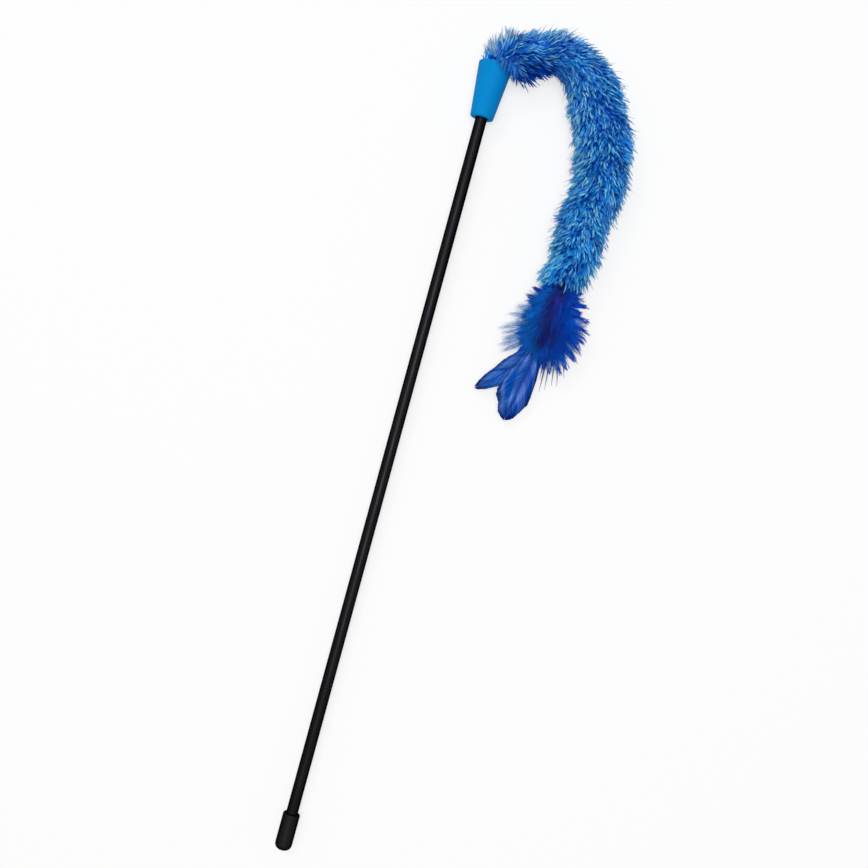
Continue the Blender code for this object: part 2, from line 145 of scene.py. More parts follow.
class Graph:
    """A node tree that is written one node at a time."""

    def __init__(self, tree: bpy.types.NodeTree) -> None:
        """Start from an empty tree."""
        self.tree = tree
        self.tree.nodes.clear()

    def fill(self, node: Node, inputs: Inputs) -> None:
        """Give a node's inputs links or constants.

        Args:
            node: the node.
            inputs: output sockets, numbers or colours by the input's name or position.
        """
        for key, value in inputs.items():
            socket = node.inputs[key]
            if isinstance(value, bpy.types.NodeSocket):
                self.tree.links.new(value, socket)
            elif isinstance(value, tuple) and len(value) == 3 and socket.type == "RGBA":
                socket.default_value = (*value, 1.0)
            else:
                socket.default_value = value

    def node(self, kind: str, inputs: Optional[Inputs] = None, **settings: object) -> Node:
        """Add a node.

        Args:
            kind: the node's type without its ShaderNode prefix.
            inputs: what its inputs get, by name or position.
            settings: its properties.

        Returns:
            The node.
        """
        made = self.tree.nodes.new(kind if kind.startswith("Node") else "ShaderNode" + kind)
        for name, value in settings.items():
            setattr(made, name, value)
        self.fill(made, inputs or {})
        return made

    def math(self, operation: str, first: object, second: object = 0.0, clamp: bool = False) -> Socket:
        """One arithmetic step, held between 0 and 1 if clamped."""
        return self.node("Math", {0: first, 1: second}, operation=operation, use_clamp=clamp).outputs[0]

    def mix(self, share: object, first: object, second: object) -> Socket:
        """Two colours mixed by the second one's share."""
        inputs = {0: share, 6: first, 7: second}
        return self.node("Mix", inputs, data_type="RGBA", clamp_factor=True).outputs[2]

    def span(self, value: object, low: float, high: float, first: float = 0.0, last: float = 1.0) -> Socket:
        """A value stretched from the range low to high to the range first to last, smoothed and clamped."""
        inputs = {0: value, 1: low, 2: high, 3: first, 4: last}
        return self.node("MapRange", inputs, interpolation_type="SMOOTHSTEP").outputs[0]

    def noise(self, where: object, scale: float, detail: float = 3.0) -> Socket:
        """Plain noise between 0 and 1, so fine per metre and of so many octaves."""
        return self.node("TexNoise", {"Vector": where, "Scale": scale, "Detail": detail}).outputs[0]

    def place(self, stretch: Triple = EVEN) -> Socket:
        """Object coordinates.

        Args:
            stretch: a factor for each axis.

        Returns:
            The coordinates.
        """
        source = self.node("TexCoord").outputs["Object"]
        if stretch == EVEN:
            return source
        return self.node("Mapping", {"Vector": source, "Scale": stretch}).outputs[0]

    def value(self, name: str) -> Socket:
        """A number stored on the mesh under a name."""
        return self.node("Attribute", attribute_type="GEOMETRY", attribute_name=name).outputs["Fac"]

    def bump(self, height: object, distance: float, strength: float) -> Socket:
        """A normal raised by a height of 0 to 1, so deep in metres and so strong."""
        return self.node("Bump", {"Strength": strength, "Distance": distance, "Height": height}).outputs[0]

    def seen_plain(self) -> Socket:
        """Which rays see a plain white studio: those of the camera, of mirrors and of glass.

        Returns:
            1 for them and 0 for the others.
        """
        path = self.node("LightPath")
        both = self.math("ADD", path.outputs["Is Camera Ray"], path.outputs["Is Glossy Ray"])
        return self.math("ADD", both, path.outputs["Is Transmission Ray"], clamp=True)


Writer = Callable[[Graph, Node], Socket]


def shared_group(
    name: str, colours: Sequence[str], values: Sequence[str], write: Writer
) -> bpy.types.NodeTree:
    """A shader group that puts out one colour and is made once.

    Args:
        name: the group's name.
        colours: the names of its colour inputs, which come first.
        values: the names of its number inputs.
        write: adds the nodes and returns the result.

    Returns:
        The group.
    """
    known = bpy.data.node_groups.get(name)
    if known:
        return known
    tree = bpy.data.node_groups.new(name, "ShaderNodeTree")
    for titles, kind in ((colours, "NodeSocketColor"), (values, "NodeSocketFloat")):
        for title in titles:
            tree.interface.new_socket(name=title, in_out="INPUT", socket_type=kind)
    tree.interface.new_socket(name="Colour", in_out="OUTPUT", socket_type="NodeSocketColor")
    graph = Graph(tree)
    result = write(graph, graph.node("NodeGroupInput"))
    graph.node("NodeGroupOutput", {0: result})
    return tree


def fibre_tone(graph: Graph, source: Node) -> Socket:
    """Write a fibre's colour from its root to its tip, lighter by its tone and turned by its hue.

    Args:
        graph: the group's graph.
        source: the group's input node.

    Returns:
        The colour.
    """
    to_middle, to_tip, hue_swing, same_hue = (0.05, 0.45), (0.10, 0.65), 0.022, 0.5
    root, middle, tip, reach, tone, hue = source.outputs[:6]
    lower = graph.mix(graph.span(reach, *to_middle), root, middle)
    lift = graph.math("MULTIPLY", graph.span(reach, *to_tip), tone)
    turn = graph.math("ADD", graph.math("MULTIPLY", hue, hue_swing), same_hue)
    return graph.node("HueSaturation", {"Color": graph.mix(lift, lower, tip), "Hue": turn}).outputs[0]


def mottle(graph: Graph, source: Node) -> Socket:
    """Write a colour that drifts a little lighter and darker with two sizes of noise.

    Args:
        graph: the group's graph.
        source: the group's input node.

    Returns:
        The colour.
    """
    coarse_share = 0.65
    colour, coarse, fine, strength = source.outputs[:4]
    larger = graph.math("MULTIPLY", coarse, coarse_share)
    smaller = graph.math("MULTIPLY", fine, 1 - coarse_share)
    centred = graph.math("SUBTRACT", graph.math("ADD", larger, smaller), 0.5)
    level = graph.math("ADD", graph.math("MULTIPLY", centred, strength), 1.0)
    return graph.node("HueSaturation", {"Color": colour, "Value": level}).outputs[0]


@dataclass(frozen=True)
class Finish:
    """A procedural material that is made once."""

    name: str

    def material(self) -> bpy.types.Material:
        """The finish's material.

        Returns:
            The material.
        """
        made = bpy.data.materials.get(self.name)
        if made is None:
            made = bpy.data.materials.new(self.name)
            made.use_nodes = True
            graph = Graph(made.node_tree)
            surface = self.surface(graph, graph.node("BsdfPrincipled"))
            graph.node("OutputMaterial", {"Surface": surface})
        return made

    def surface(self, graph: Graph, shader: Node) -> Socket:
        """Write the material's nodes; each kind of finish has its own."""
        raise NotImplementedError


@dataclass(frozen=True)
class FibreFinish(Finish):
    """Hair, down or barbs, coloured along each fibre by its reach, tone, hue and shade."""

    PATCH_RANGE = (0.42, 0.68)
    ROOT_ROUGHER = 0.15
    SHEEN_ROUGHNESS = 0.4
    STREAK_SCALE, STREAK_DETAIL, STREAK_DEPTH, STREAK_STRENGTH = 2600.0, 2.0, 0.00006, 0.4
    FADE_FROM = 0.45

    root: Triple
    middle: Triple
    tip: Triple
    shadow: Triple
    roughness: float = 0.55
    sheen: float = 0.0
    patch_scale: float = 55.0
    patch_strength: float = 0.5
    gloss: float = 0.0
    see_through: float = 0.0

    def surface(self, graph: Graph, shader: Node) -> Socket:
        """Write the fibres' nodes.

        Args:
            graph: the material's graph.
            shader: its Principled shader.

        Returns:
            The surface.
        """
        reach, tone, hue = graph.value("reach"), graph.value("tone"), graph.value("hue")
        tree = shared_group("fibre tone", ("Root", "Middle", "Tip"), ("Reach", "Tone", "Hue"), fibre_tone)
        inputs = dict(enumerate((self.root, self.middle, self.tip, reach, tone, hue)))
        colour = graph.node("Group", inputs, node_tree=tree).outputs[0]
        patches = graph.span(graph.noise(graph.place(), self.patch_scale), *self.PATCH_RANGE)
        uneven = graph.math("MULTIPLY", patches, self.patch_strength)
        shade = graph.math("ADD", uneven, graph.value("shade"), clamp=True)
        streak = graph.noise(graph.place(), self.STREAK_SCALE, self.STREAK_DETAIL)
        graph.fill(shader, {
            "Base Color": graph.mix(shade, colour, self.shadow),
            "Roughness": graph.span(reach, 0.0, 1.0, self.roughness + self.ROOT_ROUGHER, self.roughness),
            "Sheen Weight": self.sheen,
            "Sheen Roughness": self.SHEEN_ROUGHNESS,
            "Specular IOR Level": self.gloss,
            "Normal": graph.bump(streak, self.STREAK_DEPTH, self.STREAK_STRENGTH),
        })
        if self.see_through > 0.0:
            fade = graph.math("MULTIPLY", graph.span(reach, self.FADE_FROM, 1.0), graph.value("wisp"))
            clear = graph.math("MULTIPLY", fade, self.see_through)
            graph.fill(shader, {"Alpha": graph.math("SUBTRACT", 1.0, clear)})
        return shader.outputs[0]


@dataclass(frozen=True)
class SolidFinish(Finish):
    """A rigid moulded or drawn surface with mottled colour, broken gloss and fine relief."""

    FINE_RANGE, SMOOTHEST = (0.3, 0.7), 0.02
    GRAIN_DETAIL, GRAIN_STRENGTH = 2.0, 0.6

    colour: Triple
    roughness: float
    roughness_drift: float = 0.10
    stretch: Triple = EVEN
    coarse: float = 60.0
    fine: float = 900.0
    strength: float = 0.25
    relief: float = 0.00002
    relief_scale: float = 2500.0
    gloss: float = 0.35
    metallic: float = 0.0
    edge: float = 1.0

    def surface(self, graph: Graph, shader: Node) -> Socket:
        """Write the solid's nodes.

        Args:
            graph: the material's graph.
            shader: its Principled shader.

        Returns:
            The surface.
        """
        where = graph.place(self.stretch)
        fine = graph.noise(where, self.fine)
        tree = shared_group("mottle", ("Colour",), ("Coarse", "Fine", "Strength"), mottle)
        inputs = dict(enumerate((self.colour, graph.noise(where, self.coarse), fine, self.strength)))
        low, high = self.roughness - self.roughness_drift, self.roughness + self.roughness_drift
        grain = graph.noise(where, self.relief_scale, self.GRAIN_DETAIL)
        graph.fill(shader, {
            "Base Color": graph.node("Group", inputs, node_tree=tree).outputs[0],
            "Roughness": graph.span(fine, *self.FINE_RANGE, max(low, self.SMOOTHEST), high),
            "Metallic": self.metallic,
            "Specular IOR Level": self.gloss,
            "Specular Tint": (self.edge, self.edge, self.edge),
            "Normal": graph.bump(grain, self.relief, self.GRAIN_STRENGTH),
        })
        return shader.outputs[0]


@dataclass(frozen=True)
class FloorFinish(Finish):
    """White paper that glows a little for the rays that see it plainly."""

    DARKER, LIGHTER = (0.95, 0.95, 0.95), (0.97, 0.97, 0.97)
    PAPER_SCALE, ROUGHNESS, GLOSS = 400.0, 0.9, 0.1

    glow_share: float

    def surface(self, graph: Graph, shader: Node) -> Socket:
        """Write the floor's nodes.

        Args:
            graph: the material's graph.
            shader: its Principled shader.

        Returns:
            The surface.
        """
        paper = graph.noise(graph.place(), self.PAPER_SCALE)
        colour = graph.mix(paper, self.DARKER, self.LIGHTER)
        graph.fill(shader, {
            "Base Color": colour,
            "Roughness": self.ROUGHNESS,
            "Specular IOR Level": self.GLOSS,
        })
        share = graph.math("MULTIPLY", graph.seen_plain(), self.glow_share)
        glow = graph.node("Emission").outputs[0]
        return graph.node("MixShader", {0: share, 1: shader.outputs[0], 2: glow}).outputs[0]


ROD_FINISH = SolidFinish(
    "rod black", (0.0090, 0.0090, 0.0105), 0.36, 0.08, (1.0, 0.06, 1.0), 90.0, 700.0, 0.9,
    relief=0.00001, relief_scale=1800.0, metallic=1.0, edge=0.0,
)
CAP_FINISH = SolidFinish(
    "cap black", (0.0120, 0.0120, 0.0122), 0.42, coarse=110.0, fine=1400.0, strength=0.6,
    relief=0.00003, relief_scale=3200.0, metallic=1.0, edge=0.0,
)
COLLAR_FINISH = SolidFinish(
    "collar blue", (0.0010, 0.240, 0.620), 0.62, 0.08, (1.0, 0.35, 1.0), 160.0, 1100.0, 0.30,
    relief=0.00003, gloss=0.04,
)
CRIMP_FINISH = SolidFinish("crimp metal", (0.56, 0.56, 0.57), 0.35, coarse=200.0, metallic=1.0)
THREAD_FINISH = SolidFinish(
    "tie thread", (0.006, 0.020, 0.130), 0.70, fine=2400.0, strength=0.6, relief=0.00008,
)
FLOOR_FINISH = FloorFinish("floor white", 0.65)

SKIN_FINISH = FibreFinish(
    "plush skin", (0.000, 0.030, 0.210), (0.001, 0.055, 0.340), (0.003, 0.085, 0.430), (0.000, 0.024, 0.170),
    0.85, gloss=0.10,
)
FUR_FINISH = FibreFinish(
    "plush pile", (0.000, 0.105, 0.680), (0.001, 0.340, 1.000), (0.390, 0.930, 1.000), (0.000, 0.068, 0.500),
    0.50, patch_scale=60.0, patch_strength=0.30, see_through=0.60,
)
FRINGE_FINISH = FibreFinish(
    "pale fringe", (0.030, 0.330, 0.800), (0.340, 0.640, 0.960), (0.720, 0.830, 0.940), (0.020, 0.070, 0.260),
    0.50, 0.05, 90.0, 0.15, see_through=0.75,
)
DOWN_FINISH = FibreFinish(
    "marabou down", (0.002, 0.032, 0.350), (0.002, 0.078, 0.700), (0.010, 0.230, 1.000),
    (0.022, 0.027, 0.240), 0.60, patch_scale=45.0, patch_strength=0.20, see_through=0.80,
)
WISP_FINISH = FibreFinish(
    "pale down", (0.002, 0.140, 0.700), (0.180, 0.450, 0.920), (0.740, 0.830, 0.980), (0.020, 0.060, 0.300),
    0.60, patch_scale=90.0, patch_strength=0.15, see_through=0.80,
)
VANE_FINISH = FibreFinish(
    "spoon vane", (0.001, 0.068, 0.430), (0.002, 0.092, 0.480), (0.200, 0.390, 0.900), (0.001, 0.020, 0.170),
    0.50, patch_scale=120.0, patch_strength=0.20,
)
SHAFT_FINISH = FibreFinish(
    "feather shaft", (0.020, 0.060, 0.260), (0.010, 0.060, 0.300), (0.004, 0.040, 0.240),
    (0.003, 0.016, 0.130), 0.45, 0.05, 150.0, 0.3, 0.10,
)
SPINE_FINISH = FibreFinish(
    "bare spine", (0.006, 0.020, 0.240), (0.020, 0.040, 0.220), (0.240, 0.240, 0.380), (0.010, 0.010, 0.120),
    0.45, 0.05, 150.0, 0.3, see_through=0.7,
)


# Lines and fibres


@dataclass(frozen=True)
class Run:
    """One stretch of a line seen from above: its length and its clockwise turn in degrees."""

    length: float
    turn: float = 0.0


@dataclass
class Stations:
    """Places along a line with the directions ahead, to the side and up there."""

    place: Array
    ahead: Array
    side: Array
    up: Array

    def out(self, angle: Array) -> Array:
        """Directions away from the line, turned about it from the side toward up."""
        return between(self.side, self.up, angle)


class CentreLine:
    """A smooth line made of arcs that lies nearly level, sampled by distance."""

    STEP = 0.0002

    def __init__(self, start: Vector, heading: float, runs: Sequence[Run], heights: Curve) -> None:
        """Trace the line.

        Args:
            start: where it starts; its height is not used.
            heading: its first direction in degrees clockwise from +Y.
            runs: its stretches in order.
            heights: pairs of distance and height.
        """
        turns = []
        for run in runs:
            count = max(1, round(run.length / self.STEP))
            turns.extend([(run.length / count, math.radians(run.turn) / count)] * count)
        steps = np.array(turns)
        self.length = float(steps[:, 0].sum())
        self.heading = math.radians(heading) + np.concatenate(([0.0], np.cumsum(steps[:, 1])))
        middle = (self.heading[:-1] + self.heading[1:]) / 2
        moves = np.stack((np.sin(middle), np.cos(middle)), axis=1) * steps[:, :1]
        self.flat = np.array(start[:2]) + np.concatenate((np.zeros((1, 2)), np.cumsum(moves, axis=0)))
        self.distance = np.concatenate(([0.0], np.cumsum(steps[:, 0])))
        self.height = np.interp(self.distance, *np.array(heights).T)

    def sample(self, distance: Array) -> Stations:
        """Read the line.

        Args:
            distance: distances along it; past its ends it runs on straight.

        Returns:
            The stations.
        """
        inside = np.clip(distance, 0.0, self.length)
        heading = np.interp(inside, self.distance, self.heading)
        ahead = np.stack((np.sin(heading), np.cos(heading), np.zeros_like(heading)), axis=1)
        rows = (*self.flat.T, self.height)
        place = np.stack([np.interp(inside, self.distance, row) for row in rows], axis=1)
        place = place + ahead * (distance - inside)[:, None]
        up = np.tile(np.array((0.0, 0.0, 1.0)), (len(distance), 1))
        return Stations(place, ahead, np.cross(up, ahead), up)

    def point(self, distance: float) -> Vector:
        """One place on the line."""
        return Vector(self.sample(np.array([distance])).place[0])


class Profile(Enum):
    """The outline swept along a fibre: corners on a circle of one millimetre, flattened or not."""

    THREAD = (3, 1.0)
    QUILL = (8, 1.0)
    RIBBON = (4, 0.22)
    TUBE = (28, 1.0)

    def outline(self) -> Piece:
        """The outline as a closed curve, made once.

        Returns:
            The curve's object, out of view.
        """
        name = "outline_" + self.name.lower()
        known = bpy.data.objects.get(name)
        if known:
            return known
        corners, flatness = self.value
        curve = bpy.data.curves.new(name, "CURVE")
        curve.dimensions = "2D"
        spline = curve.splines.new("POLY")
        spline.points.add(corners - 1)
        for index in range(corners):
            turn = math.tau * index / corners
            spline.points[index].co = (MM * math.cos(turn), MM * flatness * math.sin(turn), 0.0, 1.0)
        spline.use_cyclic_u = True
        made = placed(name, curve)
        made.hide_render = made.hide_viewport = True
        return made


@dataclass
class Fibres:
    """Many tapered fibres of equal point count, with the values that colour them."""

    VALUES = ("reach", "tone", "hue", "shade", "wisp")
    LIFT = 0.0002
    LIFT_LEVELS, LIFT_STEP = 7, 0.00008

    points: Array
    radii_mm: Array
    values: dict[str, Array] = field(default_factory=dict)

    @staticmethod
    def joined(parts: Sequence["Fibres"]) -> "Fibres":
        """One batch from several with the same point count.

        Args:
            parts: the batches.

        Returns:
            The joined batch.
        """
        return Fibres(
            np.concatenate([p.points for p in parts]),
            np.concatenate([np.broadcast_to(p.radii_mm, p.points.shape[:2]) for p in parts]),
            {name: np.concatenate([p.spread(name) for p in parts]) for name in Fibres.VALUES},
        )

    def spread(self, name: str) -> Array:
        """One value at every point of every fibre, zero where none was given."""
        shape = self.points.shape[:2]
        return np.broadcast_to(self.values.get(name, np.zeros(shape)), shape)

    def laid_on(self, floor: float) -> "Fibres":
        """Press every point that is under a level up to it, at slightly uneven heights.

        Args:
            floor: the level.

        Returns:
            This batch.
        """
        low = self.points[:, :, 2]
        pressed = floor + self.LIFT + (np.arange(len(low)) % self.LIFT_LEVELS * self.LIFT_STEP)[:, None]
        self.points[:, :, 2] = np.maximum(low, pressed)
        return self

    def mesh_object(
        self, name: str, profile: Profile, finish: FibreFinish, upright: bool = False, capped: bool = False
    ) -> Piece:
        """Sweep the outline along every fibre, turn the result into one mesh and report it.

        Args:
            name: the piece's name.
            profile: the outline.
            finish: the fibres' finish.
            upright: whether the outline keeps its width level.
            capped: whether the ends are closed.

        Returns:
            The mesh object at the origin.
        """
        count, steps, _ = self.points.shape
        curve = bpy.data.curves.new(name, "CURVE")
        curve.dimensions = "3D"
        curve.bevel_mode = "OBJECT"
        curve.bevel_object = profile.outline()
        curve.twist_mode = "Z_UP" if upright else "MINIMUM"
        curve.use_fill_caps = capped
        places = np.ones((count, steps, 4), np.float32)
        places[:, :, :3] = self.points
        radii = np.broadcast_to(self.radii_mm, (count, steps)).astype(np.float32)
        for index in range(count):
            spline = curve.splines.new("POLY")
            spline.points.add(steps - 1)
            spline.points.foreach_set("co", places[index].ravel())
            spline.points.foreach_set("radius", radii[index])
        carrier = placed(name + "_line", curve)
        graph = bpy.context.evaluated_depsgraph_get()
        mesh = bpy.data.meshes.new_from_object(carrier.evaluated_get(graph))
        bpy.data.objects.remove(carrier)
        bpy.data.curves.remove(curve)
        for title in self.VALUES:
            per_vertex = np.repeat(self.spread(title).ravel(), profile.value[0]).astype(np.float32)
            full = np.zeros(len(mesh.vertices), np.float32)
            full[: len(per_vertex)] = per_vertex[: len(full)]
            mesh.attributes.new(title, "FLOAT", "POINT").data.foreach_set("value", full)
        mesh.polygons.foreach_set("use_smooth", np.ones(len(mesh.polygons), bool))
        mesh.materials.clear()
        mesh.materials.append(finish.material())
        LOG.info("%s: %d faces", name, len(mesh.polygons))
        return placed(name, mesh)


def one_tube(places: Array, radii_mm: Array, **levels: float) -> Fibres:
    """A single fibre whose colouring values are the same all along.

    Args:
        places: its points.
        radii_mm: its radius at each point.
        levels: the values by their names.

    Returns:
        A batch of one.
    """
    values = {name: np.full((1, len(places)), level) for name, level in levels.items()}
    return Fibres(places[None], radii_mm[None], values)


STEPS = np.array((0.0, 0.34, 0.70, 1.0))


def bowed(root: Array, pull: Array, tip: Array) -> Array:
    """Curves from roots to tips that are drawn toward a third place.

    Args:
        root: one place for each fibre.
        pull: the places that they bend toward.
        tip: the places where they end.

    Returns:
        The places at STEPS along each fibre.
    """
    share = STEPS[:, None]
    begin, bend, end = (given[:, None, :] for given in (root, pull, tip))
    return begin * (1 - share) ** 2 + 2 * bend * share * (1 - share) + end * share**2


class Drift:
    """Smooth wandering values over distance and angle, from a few waves."""

    SLOWEST = 0.25
    MOST_TURNS = 3
    LEVEL = 0.8

    def __init__(self, chance: Chance, waves: int = 7, finest: float = 0.012) -> None:
        """Choose the waves.

        Args:
            chance: the seeded generator.
            waves: how many waves are summed.
            finest: the shortest wave along the line.
        """
        self.rate = chance.uniform(self.SLOWEST, 1.0, waves) * math.tau / finest
        self.turns = chance.integers(-self.MOST_TURNS, self.MOST_TURNS + 1, waves)
        self.phase = chance.uniform(0.0, math.tau, waves)

    def at(self, distance: Array, angle: Array) -> Array:
        """Values of about -1 to 1 at distances along the line and turns about it."""
        waves = np.sin(distance[:, None] * self.rate + angle[:, None] * self.turns + self.phase)
        return waves.sum(axis=1) / math.sqrt(len(self.rate)) * self.LEVEL


@dataclass(frozen=True)
class LockStyle:
    """How one kind of lock is made of hairs."""

    hairs: int
    gather_mm: float
    root_mm: float
    tip_mm: float
    fray_mm: float = 0.12
    uneven: float = 0.07
    short: float = 0.22
    rim_dark: float = 0.25


@dataclass
class Locks:
    """Pointed locks: where each starts, bends and ends, which way it is wide and how it is coloured."""

    BODY = np.array((0.75, 1.0, 0.66, 0.08))
    TAPER_POWER = 2.5
    BESIDE_SPREAD, BACK_SPREAD = 0.10, 0.06
    THINNEST, THICKEST = 0.8, 1.25

    root: Array
    pull: Array
    tip: Array
    across: Array
    values: dict[str, Array]

    def hairs(self, style: LockStyle, chance: Chance) -> Fibres:
        """Fill the locks with hairs that part from their middles and meet at their tips.

        Args:
            style: how the locks are made.
            chance: the seeded generator.

        Returns:
            The hairs.
        """
        count = len(self.root)
        taper = (style.root_mm - style.tip_mm) * (1 - STEPS**self.TAPER_POWER) + style.tip_mm
        parts = []
        for index in range(style.hairs):
            beside = (2 * index + 1) / style.hairs - 1 + chance.normal(0.0, self.BESIDE_SPREAD, count)
            back = style.short * np.abs(beside) + np.abs(chance.normal(0.0, self.BACK_SPREAD, count))
            fray = chance.normal(0.0, style.fray_mm * MM, (count, 3))
            tip = self.tip + (self.pull - self.tip) * back[:, None] + fray
            body = (beside * style.gather_mm * MM)[:, None] * self.BODY
            points = bowed(self.root, self.pull + fray, tip) + self.across[:, None, :] * body[:, :, None]
            values = {name: given[:, None] for name, given in self.values.items()}
            own = self.values["tone"] * (1 - style.rim_dark * np.abs(beside))
            values["tone"] = held(own + chance.normal(0.0, style.uneven, count))[:, None]
            values["reach"] = STEPS[None]
            thickness = chance.uniform(self.THINNEST, self.THICKEST, count)[:, None]
            parts.append(Fibres(points, taper[None] * thickness, values))
        return Fibres.joined(parts)


# The tail


@dataclass(frozen=True)
class TailStretch:
    """One length of the fur: its ends, the nodes it stands for, and what it bends between and where."""

    name: str
    start: float
    end: float
    nodes: tuple[str, ...]
    body: str
    onto: str
    bend_from: float
    bend_to: float


@dataclass
class Spots:
    """Places on the sleeve: their distances along its line, their turns about it and the stations there."""

    distance: Array
    angle: Array
    stations: Stations

    def __post_init__(self) -> None:
        """Work out the directions away from the line, and how far each points to its outer side."""
        self.out = self.stations.out(self.angle)
        self.outer = (self.out * self.stations.side).sum(axis=1)


@dataclass(frozen=True)
class Pile:
    """One layer of the pile: locks per square millimetre, their length and how they lie."""

    density: float
    length_mm: float
    style: LockStyle
    dull: float = 0.0
    lean: float = 50.0
    lean_drift: float = 9.0
    lean_spread: float = 8.0
    swerve: float = 26.0
    swerve_spread: float = 13.0
    length_spread: float = 0.22
    shortest: float = 0.6
    longest: float = 1.5
    bow: float = 0.14
    sunk: float = 0.0003


@dataclass(frozen=True)
class Strays:
    """The long thin hairs that stand past the pile."""

    seed: int = 909
    pitch: float = 0.00022
    lean: Pair = (25.0, 55.0)
    scatter: float = 0.18
    length: Pair = (0.0060, 0.0088)
    forward: float = 0.0012
    tone: Pair = (0.0, 0.5)
    shade: float = 0.80
    wisp: float = 0.2
    root_mm: float = 0.16
    taper_mm: float = 0.11


@dataclass(frozen=True)
class Fringe:
    """The thin pale locks at the outer side of the collar's mouth."""

    seed: int = 77
    count: int = 72
    end: float = 0.0160
    turns: Pair = (-0.9, 1.25)
    reach: float = 0.0155
    aim: Triple = (-0.55, 0.55, 0.10)
    aim_later: Triple = (0.75, 0.3, 0.0)
    outward: float = 0.55
    scatter: float = 0.16
    length: Pair = (0.0055, 0.0098)
    bow: float = 0.10
    sunk: float = 0.0004
    tone: Pair = (0.35, 1.0)
    hue: float = 0.3
    shades: Triple = (0.0, 0.10, 0.7)
    chances: Triple = (0.65, 0.23, 0.12)
    style: LockStyle = LockStyle(7, 0.36, 0.13, 0.035, 0.20)


@dataclass(frozen=True)
class Drape:
    """The locks that fall over the collar's rim, dark with painted shade on the inner side of the arch; past
    the far turn they are paler and fall less.

    pull is how far they bend outward and ahead; out and back are how far they reach at least and what a full
    fall adds, and back's third number is what the far turn takes away.
    """

    seed: int = 78
    count: int = 150
    distance: float = 0.0048
    turns: Pair = (-1.15, 2.30)
    radius: Pair = (0.0068, 0.0084)
    fall_turn: float = 0.40
    fall: Pair = (0.65, 1.20)
    far_turn: float = 1.5
    far_width: float = 0.6
    pull: Pair = (0.0046, 0.0026)
    out: Pair = (0.0032, 0.0026)
    back: Triple = (0.0008, 0.0080, 0.0050)
    scatter: float = 0.0008
    bright_share: float = 0.2
    bright: float = 0.7
    tone: Pair = (0.0, 0.3)
    far_tone: float = 0.5
    hue: Pair = (-0.2, 0.9)
    shade: Pair = (0.35, 0.80)
    far_shade: float = 0.8


UNDERCOAT = Pile(0.50, 3.6, LockStyle(4, 0.55, 0.20, 0.07, 0.35), dull=0.55)
TUFTS = Pile(0.27, 6.4, LockStyle(6, 0.38, 0.20, 0.055, uneven=0.11))


